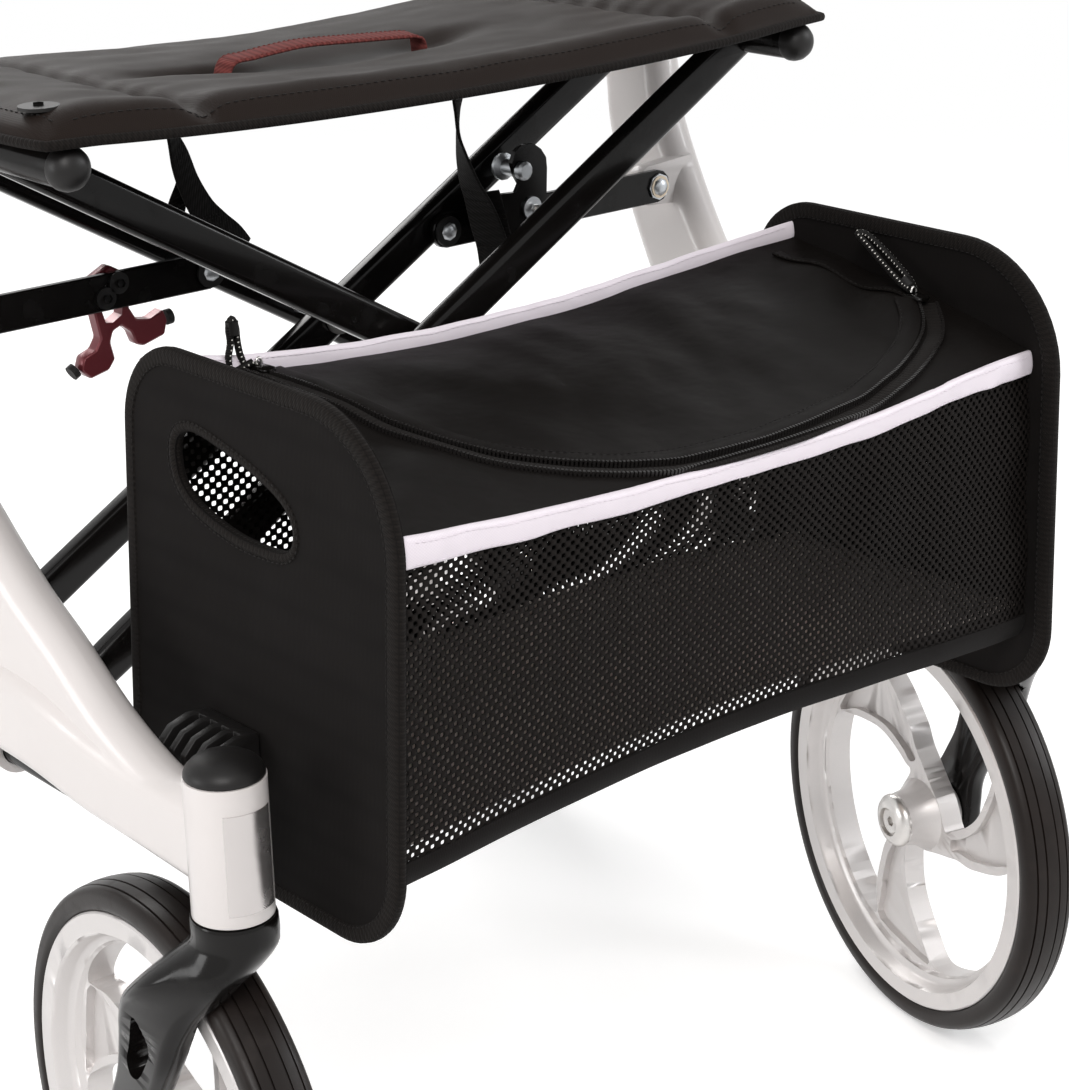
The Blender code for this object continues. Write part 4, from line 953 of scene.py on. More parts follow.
def grip(name, side):
    """Moulded grip with finger swells, fine ribs, a flared end and cheeks for the lever."""
    top, along = post_axis(side)
    rise = top + along * POST_OUT
    start = rise + Vector((0, 30, 22))
    shape = [
        (0, 14), (1.5, 15.6), (8, 17.5), (24, 17), (36, 17.8), (48, 18.5), (62, 17.4), (76, 16.5), (88, 16.1),
        (100, 16), (112, 17.7), (118, 18.5), (124, 17.9), (127, 16), (129, 11),
    ]
    rings = []
    for y, radius in smooth_values(shape, 8):
        flat = 0.88 + 0.12 * max(0.0, min(1.0, (14 - y) / 10))
        if 22 < y < 104:
            radius -= 0.35 * (0.5 + 0.5 * math.cos(math.tau * y / 4.4))
        centre = start + Vector((0, y, 0.03 * y))
        rings.append([centre + X * a + Z * b * flat for a, b in circle(radius, 48)])
    made = piece(name, skin(rings), "grip rubber", 60)
    combine(made, [block(start + Vector((0, 8, -24)), (22, 26, 30), 4)])
    slot = block(start + Vector((0, 12, -30)), (11, 50, 24), 1)
    bore = rod(rise + Vector((0, 20, 22)), rise + Vector((0, 66.4, 22.5)), POST_RADIUS + 2 * GAP)
    combine(made, [bore, slot], "DIFFERENCE")
    return softened(made, 0.6, 2, 50)


def lever(name, side):
    """Brake lever that hangs under the grip and swells towards its end."""
    top, along = post_axis(side)
    pivot = top + along * POST_OUT + Vector((0, 38, -8))
    stations = [
        (0, -8, 3, 12, 9.4), (0, 14, -1, 12, 9.4), (0, 40, -12, 11, 9.6), (0, 80, -24, 12, 12),
        (0, 112, -27, 11, 14), (0, 124, -24, 8, 12),
    ]
    made = piece(name, moved(flat_tube(stations, X, 6, 4, 5), pivot), "black plastic")
    return softened(made, 0.8, 2, 50)


def collar(name, side):
    """Clamp collar on top of an upright, with a bore for the post and one for the button."""
    top, along = post_axis(side)
    body = block(Vector(), (39, 44, 30), 9, 8)
    turned_about(body, -POST_LEAN, X)
    made = piece(name, moved(body, top + along), "black plastic")
    socket = swept([top - along * 20, top + along * 0.3], X, lambda k: rounded_box(34.8, 29.8, 12.3, 6))
    knob = top + along * 6
    cuts = [
        socket, rod(top - along * 30, top + along * 30, POST_BORE),
        rod(knob + X * side * 7, knob + X * side * 30, 6.4),
    ]
    combine(made, cuts, "DIFFERENCE")
    return softened(made, 1.0, 3, 45)


def button(name, side):
    """Domed height button in the side of a collar."""
    top, along = post_axis(side)
    profile = [
        (0, 13.6), (6, 13.6), (6, 23), (7.6, 23), (8, 23.4), (7.7, 25.6), (6.9, 26.8), (5.5, 27.5), (0, 27.8),
    ]
    return piece(name, moved(turned(profile, X * side, 40, False), top + along * 6), "maroon lacquer")


def hook(name, side):
    """Ribbed clip on the end panel that hangs over the frame's tube behind the head tube."""
    wall = panel_x(316) + 1.0
    outline = [
        (wall, 329.5), (wall, 304), (wall + 4, 303), (wall + 5, 316), (226, 319), (233.5, 312), (235.2, 313),
        (235.2, 321), (229, 327.5), (219, 330.5),
    ]
    made = piece(name, prism([(side * x, z) for x, z in outline], "y", -264, -224), "black plastic")
    slots = []
    for y in (-258.5, -249.5, -240.5, -231.5):
        slots.append(moved(prism(rounded_box(5.2, 40, 2.2, 4), "x", -13, 13), Vector((side * 228, y, 326))))
    combine(made, slots, "DIFFERENCE")
    gusset = [(side * x, z) for x, z in ((wall + 1, 306), (wall + 1, 318), (wall + 15, 318.6))]
    combine(made, [prism(gusset, "y", y - 1.1, y + 1.1) for y in (-254, -245, -236)])
    return softened(made, 0.5, 2, 40)


def rail_cap(name, x):
    """Ball cap pressed into the front end of a seat rail."""
    profile = [(0, 13), (6.9, 13), (6.9, -0.3), (10.0, -0.3), (10.25, -1.2), (10.2, -3.6), (9.4, -6.6), (7.6, -9.3)]
    profile += [(4.8, -11.3), (2.4, -12), (0, -12.2)]
    return piece(name, moved(turned(profile, Y, 40, False), Vector((x, RAIL_FRONT, RAIL_Z))), "black plastic", 40)


def head_cap(name, side):
    """Low domed cap on top of a head tube."""
    profile = [(0, 0), (17.2, 0), (17.5, 0.6), (17.4, 2.6), (16.6, 5.6), (14.6, 8.9), (11.5, 11.7), (7.5, 13.6)]
    profile += [(3.6, 14.4), (0, 14.6)]
    at = Vector((side * ARM_X, HEAD_Y, HEAD_TOP + GAP))
    return piece(name, moved(turned([(r, 0.66 * h) for r, h in profile], Z, 56, False), at), "black plastic", 45)


def front_strip(name, side):
    """The plain reflective patch round the front of the head tube."""
    rows = []
    for z in (276.5, 322.5):
        row = []
        for k in range(25):
            angle = math.radians(-129 + 78 * k / 24)
            row.append((side * ARM_X + 18.25 * math.cos(angle), HEAD_Y + 18.25 * math.sin(angle), z))
        rows.append(row)
    rows = [[tuple(a + (b - a) * t / 6 for a, b in zip(p, q)) for p, q in zip(*rows)] for t in range(7)]
    return surface(name, rows, "grey reflector", 0.3, lambda j, i: (i * 0.001, j * 0.0077))


# ---------------------------------------------------------------- seat


def seat_bottom(x, v):
    """Height of the seat's underside: slack between the rails, more so at the front edge."""
    sag = SAG - 8.5 * max(0.0, -v) ** 3 + 4 * max(0.0, v) ** 2
    return SEAT_BASE - sag * max(0.0, 1 - (x / 212) ** 2)


def seat_padding(u, v):
    """Padding height: drawn-in edges, two sewn channels, front roll, the strap's hollow and soft wrinkles."""
    edge = max(0.0, (1 - abs(u) ** 12) * (1 - abs(v) ** 10))
    across = abs(u) - CHANNEL
    channel = 1 - 0.5 * math.exp(-((across / 0.028) ** 2)) - 0.15 * math.exp(-((across / 0.09) ** 2))
    hollow = 1 - 0.44 * math.exp(-(((u + 0.1) / 0.30) ** 2) - ((v + 0.06) / 0.20) ** 2)
    hollow *= 1 - 0.72 * math.exp(-(((u + 0.37 - 0.5 * (v + 0.04)) / 0.13) ** 2) - ((v + 0.04) / 0.07) ** 2)
    hollow *= 1 - 0.45 * math.exp(-(((u - 0.2) / 0.11) ** 2) - ((v + 0.05) / 0.09) ** 2)
    roll = 3 * math.exp(-(((v + 0.86) / 0.10) ** 2))
    hem = 1 - 0.35 * math.exp(-(((1 - abs(v)) / 0.035) ** 2)) * (abs(u) < 0.97)
    return 3 + (13.5 + roll) * edge**0.6 * channel * hollow * hem


def seat_point(u, v, top, lift=0.0):
    x = u * SEAT_WIDTH * (1 - 0.02 * abs(v) ** 6 * abs(u) ** 4)
    y = -70 + 117 * v + 15 * abs(u) ** 3 * max(0.0, -v) - 3 * abs(u) ** 6 * max(0.0, v)
    z = seat_bottom(x, v)
    if top:
        place = Vector((x, y, 0)) * 0.012
        ripple = noise.noise(Vector((place.x * 2.2, place.y * 5, 1))) * 0.9 + noise.noise(place * 6) * 0.25
        near_seam = math.exp(-(((abs(u) - CHANNEL) / 0.08) ** 2))
        pucker = math.sin(y * 0.33 + 2 * noise.noise(place)) * 0.35 * near_seam
        still = min(1.0, 8 * (1 - abs(v)), 8 * (1 - abs(u)))
        z += seat_padding(u, v) + (ripple + pucker) * max(0.0, still) + lift
    return Vector((x, y, z - (0 if top else lift)))


def seat_pad(columns, rows):
    """The pad's closed form, with its columns and rows closer together towards the edges."""
    mesh, layers, spread = bmesh.new(), [], []
    for i in range(columns + 1):
        even = 2 * i / columns - 1
        spread.append(0.65 * even + 0.35 * math.sin(math.pi / 2 * even))
    for top in (False, True):
        grid = []
        for j in range(rows + 1):
            v = 0.5 * (-math.cos(math.pi * j / rows)) + 0.5 * (2 * j / rows - 1)
            grid.append([mesh.verts.new(seat_point(u, v, top)) for u in spread])
        layers.append(grid)
    for grid, flip in zip(layers, (True, False)):
        for j in range(rows):
            for i in range(columns):
                corners = [grid[j][i], grid[j][i + 1], grid[j + 1][i + 1], grid[j + 1][i]]
                mesh.faces.new(corners[::-1] if flip else corners)
    bottom, top = layers
    ring = [(0, i) for i in range(columns)] + [(j, columns) for j in range(rows)]
    ring += [(rows, i) for i in range(columns, 0, -1)] + [(j, 0) for j in range(rows, 0, -1)]
    for (j, i), (m, n) in zip(ring, ring[1:] + ring[:1]):
        mesh.faces.new((bottom[j][i], bottom[m][n], top[m][n], top[j][i]))
    return mesh


def seat_edge():
    """Points round the seat's edge, as (u, v)."""
    wide, deep = 90, 44
    ring = [(-1 + 2 * k / wide, -1) for k in range(wide)] + [(1, -1 + 2 * k / deep) for k in range(deep)]
    return ring + [(1 - 2 * k / wide, 1) for k in range(wide)] + [(-1, 1 - 2 * k / deep) for k in range(deep)]


# ---------------------------------------------------------------- bag


def panel_x(z):
    return PANEL_TOP_X + (PANEL_BOTTOM_X - PANEL_TOP_X) * (BAG_TOP - z) / (BAG_TOP - BAG_BOTTOM)


def panel_outline(side):
    """The rounded outline of an end panel, as (y, z)."""
    steps = 14
    forward = BAG_SKEW * (side + 1) / 2
    corners = (
        (BAG_REAR - 3, BAG_TOP, 42), (BAG_FRONT - forward, BAG_TOP, 60), (BAG_FRONT + 2 - forward, BAG_BOTTOM, 42),
        (BAG_REAR + 2, BAG_BOTTOM, 28),
    )
    outline = []
    for quarter, (y, z, radius) in enumerate(corners):
        cy, cz = y + radius * (-1, 1, 1, -1)[quarter], z + radius * (-1, -1, 1, 1)[quarter]
        for k in range(steps + 1):
            angle = math.pi / 2 * (quarter + k / steps)
            outline.append((cy + radius * math.cos(angle), cz + radius * math.sin(angle)))
    return outline


def slot_outline():
    slot = [
        (-205, 450), (-214, 455), (-230, 454), (-262, 447), (-283, 439), (-291, 430), (-289, 420), (-276, 416),
        (-248, 416), (-220, 422), (-207, 430), (-203, 441),
    ]
    return smooth_values(slot, 4, True)


def leaned(mesh, side):
    """Sets a flat shape on an end panel, which leans inwards towards its top."""
    for vertex in mesh.verts:
        vertex.co.x = side * (vertex.co.x + panel_x(vertex.co.z))
    return mesh


def even_loop(points, step):
    """A closed outline read again at even steps."""
    ring = [Vector(p) for p in points] + [Vector(points[0])]
    total = sum((b - a).length for a, b in zip(ring, ring[1:]))
    count, found, k, run = round(total / step), [], 0, 0.0
    for n in range(count):
        want = total * n / count
        while run + (ring[k + 1] - ring[k]).length < want:
            run += (ring[k + 1] - ring[k]).length
            k += 1
        found.append(ring[k].lerp(ring[k + 1], (want - run) / (ring[k + 1] - ring[k]).length))
    return found


def loop_normals(points, inwards=1):
    centre = sum(points, Vector((0, 0))) / len(points)
    found = []
    for k, point in enumerate(points):
        ahead = points[(k + 1) % len(points)] - points[k - 1]
        normal = Vector((-ahead.y, ahead.x)).normalized()
        found.append(normal * inwards * (1 if normal.dot(centre - point) > 0 else -1))
    return found


def end_panel(name, side):
    made = piece(name, leaned(prism(panel_outline(side), "x", -PANEL_DEPTH, 0), side), "panel cloth")
    combine(made, [leaned(prism(slot_outline(), "x", -PANEL_DEPTH - 5, 5), side)], "DIFFERENCE")
    return made


def bound_edge(name, side, outline, inset, width, inwards):
    """Tape folded over an edge of an end panel."""
    points = even_loop(outline, 3.0)
    normals = loop_normals(points, inwards)
    path, across = [], []
    for point, normal in zip(points, normals):
        y, z = point + normal * inset
        path.append((side * (panel_x(z) - PANEL_DEPTH / 2), y, z))
        across.append((0, normal.x, normal.y))
    return band(name, path, lambda k: across[k], "binding tape", width, PANEL_DEPTH + 1.6, loop=True, corner=2.2)


def edge_stitches(side, outline, inset, inwards):
    points = even_loop(outline, 3.0)
    lines = []
    for face in (0.9, -PANEL_DEPTH - 0.9):
        line = []
        for point, normal in zip(points, loop_normals(points, inwards)):
            y, z = point + normal * inset
            line.append((side * (panel_x(z) + face), y, z))
        lines.append(line)
    return lines


# The bag's rims and walls: s runs from -1 at the near end panel to 1 at the far one


def front_y(s):
    return BAG_FRONT + 4 - BAG_SKEW * (s + 1) / 2 + 12 * max(0.0, (s - 0.3) / 0.7) ** 2


def rear_y(s):
    return BAG_REAR - 20 * max(0.0, (s - 0.45) / 0.55) ** 2


def far_drop(s):
    return 8 * max(0.0, (s - 0.6) / 0.4) ** 2


def front_top(s):
    return 433 + (14 if s > 0 else 9) * s * s - far_drop(s)


def front_low(s):
    return 424.5 + (11 if s > 0 else 4.5) * s * s - far_drop(s)


def hem_arch(s):
    """How far the lower edge of the bag's front rises above its ends."""
    return 13 * (1 - s * s) ** 1.2


def rear_top(s):
    return 452 + 18.5 * abs(s) ** 2.2


def bag_x(s, z):
    return s * (panel_x(z) - PANEL_DEPTH - GAP)


def lid_height(s, t):
    z = rear_top(s) + (front_top(s) - rear_top(s)) * t + 4.5 * math.sin(math.pi * t) * (1 - 0.4 * s * s)
    place = Vector((s * 3.1, t * 2.2, 0.3))
    fold = noise.noise(place * 1.3) * 3.8 + noise.noise(Vector((s * 9 + t * 3, t * 4 - s * 2, 4))) * 1.5
    side_fold = math.exp(-(((abs(s) - 0.9) / 0.13) ** 2)) * math.sin(t * 19 + s * 17) * 2.2
    calm = math.sin(math.pi * min(1, max(0, t))) ** 0.5
    return z + (fold + side_fold) * calm


def lid_point(x, y, lift=0.0):
    s = max(-1.0, min(1.0, x / 197.0))
    t = max(0.0, min(1.0, (rear_y(s) - 10 - y) / (rear_y(s) - 10 - front_y(s))))
    return Vector((x, y, lid_height(s, t) + lift))


ZIP_ROUTE = [
    (-136, -176), (-135.5, -195), (-133, -226), (-127.5, -259), (-118, -285), (-107.5, -307), (-94, -324),
    (-79, -337), (-62, -346), (-42, -352), (-15, -355), (20, -356), (61, -353), (90, -348), (120, -338), (150, -322),
    (170, -307), (182, -292),
]


def zip_line(offset, lift):
    """The zip's route over the lid, moved sideways in plan; positive offsets lie outside the flap."""
    flat = [Vector(p) for p in smooth_values(ZIP_ROUTE, 6)]
    found = []
    for k, here in enumerate(flat):
        ahead = heading(flat, k)
        out = Vector((ahead.y, -ahead.x)) * -1
        if out.dot(here - Vector((10, -240))) < 0:
            out = -out
        x, y = here + out * offset
        found.append(lid_point(x, max(y, front_y(x / 197) + 1), lift))
    return found


def bag_rows(kind, wide, high):
    """Rows of points of one cloth wall of the bag: lid, front, rear or floor."""
    rows = []
    for j in range(high + 1):
        t, row = j / high, []
        for i in range(wide + 1):
            s = 2 * i / wide - 1
            crease = math.exp(-(((abs(s) - 0.96) / 0.05) ** 2))
            if kind == "lid":
                y = rear_y(s) - 10 + (front_y(s) - rear_y(s) + 10) * t
                z = lid_height(s, t)
            elif kind in ("front", "hem"):
                low = 287 + hem_arch(s)
                top = front_low(s) + 4 if kind == "front" else low + 12.5
                bottom = low + 10 if kind == "front" else low
                z = top + (bottom - top) * t
                bow = math.sin(math.pi * (top - z) / (front_low(s) - low)) if kind == "front" else 0
                wave = noise.noise(Vector((s * 5, z * 0.02, 2))) * 1.6 + crease * math.sin(z * 0.09) * 1.2
                y = front_y(s) + 3.2 * max(0, bow) * (1 - s * s) + wave * (0.3 if kind == "hem" else 1)
                y += 5 * t * t if kind == "hem" else 0
            elif kind == "rear":
                top, bottom = rear_top(s) + 4, 296
                z = top + (bottom - top) * t
                wave = noise.noise(Vector((s * 4, z * 0.02, 7))) * 1.6
                y = rear_y(s) - 10.5 + wave * min(1, 6 * t) + 1.5 * math.sin(math.pi * t) * (1 - s * s)
                y -= 9 * max(0, (t - 0.85) / 0.15) ** 2
            else:
                y = rear_y(s) - 13 + (front_y(s) + 5.5 - rear_y(s) + 13) * t
                round_off = max(0.0, abs(2 * t - 1) - 0.86) / 0.14
                z = 301 + (hem_arch(s) + 1.8) * t + 1.5 * round_off * round_off
            row.append((bag_x(s, z), y, z))
        rows.append(row)
    return rows


# ---------------------------------------------------------------- the add-on's settings, steps and panel


def colour_setting(name, description, default):
    return FloatVectorProperty(
        name=name, description=description, subtype="COLOR", size=3, default=default, min=0, max=1)


class FrameFinishes(bpy.types.PropertyGroup):
    """Colours of the painted and plated pieces."""

    frame_white: colour_setting("Frame", "Powder coat of the side frames", (0.765, 0.725, 0.71))
    tube_black: colour_setting(
        "Brace and forks", "Gloss paint of the cross brace, links and forks", (0.0055, 0.0048, 0.0045))
    wheel_silver: colour_setting("Wheels", "Lacquer of the cast rims", (0.66, 0.635, 0.625))
    maroon: colour_setting(
        "Claw and buttons", "Lacquer of the lock claw and the height buttons", (0.17, 0.026, 0.034))
    paint_roughness: FloatProperty(
        name="Paint roughness", description="Roughness of the white powder coat", default=0.33, min=0, max=1,
        subtype="FACTOR")


class ClothFinishes(bpy.types.PropertyGroup):
    """Colours and sizes of the seat and the bag."""

    seat_cloth: colour_setting("Seat", "Coated seat cloth", (0.0150, 0.0106, 0.0089))
    bag_cloth: colour_setting("Bag", "Stiff end panels of the bag", (0.0060, 0.0050, 0.0047))
    lid_cloth: colour_setting("Lid", "Thin nylon of the bag's lid", (0.0054, 0.0043, 0.0038))
    ribbon: colour_setting("Ribbon", "Reflective ribbon on the bag's rims", (0.84, 0.775, 0.835))
    strap: colour_setting("Pull strap", "Pull strap across the seat", (0.155, 0.040, 0.036))
    seat_weave: FloatProperty(
        name="Seat weave", description="Distance between the seat cloth's threads", unit="LENGTH",
        default=0.0011, min=0.0002, max=0.005)
    hole_across: FloatProperty(
        name="Hole spacing across", description="Distance between the net's holes along a row", unit="LENGTH",
        default=0.0050, min=0.002, max=0.02)
    hole_along: FloatProperty(
        name="Hole spacing down", description="Distance between every other row of the net's holes",
        unit="LENGTH", default=0.0045, min=0.002, max=0.02)
    openness: FloatProperty(
        name="Net openness", description="Level that a hole's field must pass; lower makes larger holes",
        default=0.27, min=0.05, max=0.95)


class StudioSettings(bpy.types.PropertyGroup):
    """Camera lens and lamp levels."""

    lens: FloatProperty(name="Lens", description="Focal length on a 36 mm frame", default=LENS, min=10, max=300,
                        subtype="DISTANCE_CAMERA")
    key_level: FloatProperty(name="Key lamp", description="Power of the large soft lamp", default=98, min=0,
                             max=500, unit="POWER")
    world_level: FloatProperty(name="Surround", description="Strength of the pale surround", default=0.34, min=0,
                               max=5)


class FRAME_OT_finishes(bpy.types.Operator):
    """Mix every finish that the pieces use"""

    bl_idname = "walkingframe.finishes"
    bl_label = "Mix finishes"

    def execute(self, context):
        paint, cloth = context.scene.frame_finishes, context.scene.cloth_finishes
        white, black, silver = paint.frame_white, paint.tube_black, paint.wheel_silver
        painted("warm white paint", white, paint.paint_roughness, orange_peel=0.18, coat=0.35)
        painted("gloss black paint", black, 0.15, orange_peel=0.12, coat=0.05, gloss=0.18)
        painted("silver lacquer", silver, 0.38, 0.5, 0.10, 0.15, flake=0.10)
        painted("maroon lacquer", paint.maroon, 0.34, 0.35, 0.15, 0.2, flake=0.3)
        metal("plated steel", (0.66, 0.64, 0.62), 0.2)
        metal("zinc screw", (0.52, 0.54, 0.56), 0.3)
        metal("tan washer", (0.56, 0.48, 0.38), 0.42)
        moulded("black plastic", (0.0075, 0.0068, 0.0066), 0.40)
        moulded("grip rubber", (0.010, 0.0092, 0.009), 0.6, 2200, 0.0001)
        tyre_rubber("tyre rubber", (0.0065, 0.0050, 0.0046))
        woven("seat cloth", cloth.seat_cloth, cloth.seat_weave, 0.50, 0.01, 0.2, 0.0001, uv=False, gloss=0.06)
        woven("panel cloth", cloth.bag_cloth, 0.0009, 0.78, 0.02, 0.2, 0.0001, crease=9, uv=False)
        # The board seen through the net: its own tan tone, made paler to make up for the lid's shade over it, so
        # partly painted light
        woven("board cloth", (0.88, 0.78, 0.72), 0.0012, 0.8, 0.02, 0.2, 0.0001, uv=False)
        woven("lid nylon", cloth.lid_cloth, 0.0007, 0.46, 0.01, 0.2, 0.00007, crease=26, gloss=0.05)
        ribbed_tape("binding tape", (0.0095, 0.0078, 0.0070), 0.0014)
        ribbed_tape("black webbing", (0.0065, 0.0058, 0.0055), 0.0022, 0.7)
        ribbed_tape("red strap", cloth.strap, 0.0021, 0.72)
        net("bag net", (0.0085, 0.0070, 0.0064), cloth.hole_across, cloth.hole_along, cloth.openness)
        net("rear net", (0.0065, 0.0055, 0.0050), 1.32 * cloth.hole_across, 1.2 * cloth.hole_along, 0.19)
        reflective("pale ribbon", cloth.ribbon, 0.0016)
        reflective("grey reflector", (0.56, 0.53, 0.52), 0.0012, 0.85, 0.2)
        flecked("flecked cord", (0.006, 0.0054, 0.005), (0.72, 0.70, 0.66), 0.0024)
        woven("black thread", (0.014, 0.0125, 0.012), 0.0005, 0.6, 0.03, 0.3, 0.00005, uv=False)
        moulded("zip teeth", (0.016, 0.0145, 0.014), 0.22, 900)
        return {"FINISHED"}


class FRAME_OT_metalwork(bpy.types.Operator):
    """Build the side frames, cross brace, forks, handles and caps"""

    bl_idname = "walkingframe.metalwork"
    bl_label = "Metalwork"

    def execute(self, context):
        for name, side in SIDES:
            body = f"side_{name}"
            dressed(side_frame(f"Side_frame_{name}", side), body, "paint_white", f"frame_{name}")
            dressed(fork(f"Fork_{name}", side, FORK_YAW[name]), f"caster_{name}", "paint_black", f"fork_{name}")
            dressed(head_cap(f"Head_cap_{name}", side), body, "plastic_black", f"head_cap_{name}")
            dressed(hook(f"Bag_hook_{name}", side), body, "plastic_black", f"bag_hook_{name}")
            dressed(collar(f"Collar_{name}", side), body, "plastic_black", f"collar_{name}")
            dressed(handle_post(f"Handle_post_{name}", side), f"handle_{name}", "paint_silver", f"handle_post_{name}")
            dressed(grip(f"Grip_{name}", side), f"handle_{name}", "rubber", f"grip_{name}")
            dressed(lever(f"Brake_lever_{name}", side), f"lever_{name}", "plastic_black", f"brake_lever_{name}")
            dressed(button(f"Height_button_{name}", side), f"button_{name}", "maroon", f"height_button_{name}")
            dressed(front_strip(f"Reflector_{name}", side), body, "paint_silver")
        dressed(brace("Brace_first", 1, LEG_A_Y), "brace_first", "paint_black", "brace_a")
        dressed(brace("Brace_second", -1, LEG_B_Y), "brace_second", "paint_black", "brace_b")
        dressed(rail_cap("Rail_cap_far", RAIL_X), "brace_first", "plastic_black", "rail_cap_far")
        dressed(rail_cap("Rail_cap_near", -RAIL_X), "brace_second", "plastic_black", "rail_cap_near")
        return {"FINISHED"}


class FRAME_OT_wheels(bpy.types.Operator):
    """Build the four wheels with tyres, cast rims and plated axle caps"""

    bl_idname = "walkingframe.wheels"
    bl_label = "Wheels"

    def execute(self, context):
        axle = axle_blank()
        for end, radius in (("front", FRONT_RADIUS), ("rear", REAR_RADIUS)):
            rim, tyre = rim_blank(radius, 120), tyre_blank(radius, 120)
            for name, side in SIDES:
                yaw = FORK_YAW[name] if end == "front" else 0.0
                spin = WHEEL_SPIN[name] if end == "front" else 0.0
                back = Vector((math.sin(yaw), math.cos(yaw), 0))
                at = Vector((side * REAR_WHEEL_X, *REAR_AXLE.yz))
                if end == "front":
                    at = Vector((side * ARM_X, HEAD_Y, FRONT_RADIUS)) + back * TRAIL
                wheel = f"{end}_wheel_{name}"
                dressed(placed(rim, f"Rim_{end}_{name}", at, -yaw, spin), wheel, "paint_silver", f"{wheel}_rim")
                dressed(placed(tyre, f"Tyre_{end}_{name}", at, -yaw, 0), wheel, "tyre", f"{wheel}_tyre")
                holder = f"caster_{name}" if end == "front" else f"side_{name}"
                hub_side = side if end == "front" else -side
                cap = placed(axle, f"Axle_{end}_{name}", at, -yaw, 0, flip=hub_side < 0)
                dressed(cap, holder, "steel", f"{wheel}_axle")
            for blank in (rim, tyre):
                bpy.data.objects.remove(blank, do_unlink=True)
        bpy.data.objects.remove(axle, do_unlink=True)
        return {"FINISHED"}


class FRAME_OT_small_parts(bpy.types.Operator):
    """Finish the links, lock claw, keeper and shoes, and set fine screw heads over the plain ones"""

    bl_idname = "walkingframe.small_parts"
    bl_label = "Links, locks and screws"

    def execute(self, context):
        plain = {
            "gloss black paint": ["link_near", "link_far", "lock_keeper"],
            "maroon lacquer": ["lock_claw"],
            "black plastic": ["brake_shoe_near", "brake_shoe_far"],
            "grip rubber": ["claw_tip_1", "claw_tip_2"],
            "zinc screw": [
                "lock_pin", "brace_bolt_front", "brace_bolt_rear", "link_bolt_outer_near", "link_bolt_outer_far",
                "link_bolt_inner_near", "link_bolt_inner_far", "lock_keeper_bolt",
            ],
        }
        for look, names in plain.items():
            for name in names:
                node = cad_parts[name]
                node.data.materials.clear()
                node.data.materials.append(LOOKS[look])
                attribute = node.data.attributes.get("custom_normal")
                if attribute:
                    node.data.attributes.remove(attribute)
                node.data.shade_smooth()
                weld = node.modifiers.new("Join corners", "WELD")
                weld.merge_threshold = 0.00001
                split = node.modifiers.new("Sharp edges", "EDGE_SPLIT")
                split.split_angle = math.radians(36)
        forward = (0, -1, 0)
        heads = []
        for name, side in SIDES:
            y = LINK_Y[name] - 2 - GAP
            heads.append((f"Link_screw_outer_{name}", f"side_{name}", [(side * LINK_OUTER, y - 1.0, LINK_Z)],
                          (4.7, 3.2, 6.4, 2.4), ("zinc screw", "tan washer")))
            heads.append((f"Link_screw_inner_{name}", f"guide_{name}", [(side * LINK_INNER, y - 1.0, LINK_Z)],
                          (5.1, 3.2, 8.2, 2.4), ("zinc screw", "black plastic")))
        for name, y in (("front", LEG_A_Y[0]), ("rear", LEG_A_Y[1])):
            heads.append((f"Brace_screw_{name}", "brace_first", [(0, y - 7.3, CROSSING_Z)],
                          (6.4, 4.2, 8.7, 2.8), ("zinc screw", "plated steel")))
        claw_y, keeper_y = LINK_Y["near"] - 2 - GAP, LINK_Y["far"] - 18.5 - GAP
        heads.append(("Claw_screws", "guide_near", [(-125, claw_y - 0.6, 476), (-133, claw_y - 0.6, 469.5)],
                      (5.2, 3.3, 5.6, 2.3), ("black plastic", "black plastic")))
        heads.append(("Keeper_screw", "guide_far", [(116, keeper_y - 0.6, 480)],
                      (5.9, 4.7, 6.2, 2.6), ("plated steel", "zinc screw")))
        stands_for = {
            "Claw_screws": ("claw_screw_1", "claw_screw_2"), "Keeper_screw": ("lock_keeper_bolt",),
        }
        for name, body, places, sizes, looks in heads:
            made = screw_heads(name, [(place, forward) for place in places], *sizes, *looks)
            dressed(made, body, "steel", *stands_for.get(name, ()))
        return {"FINISHED"}


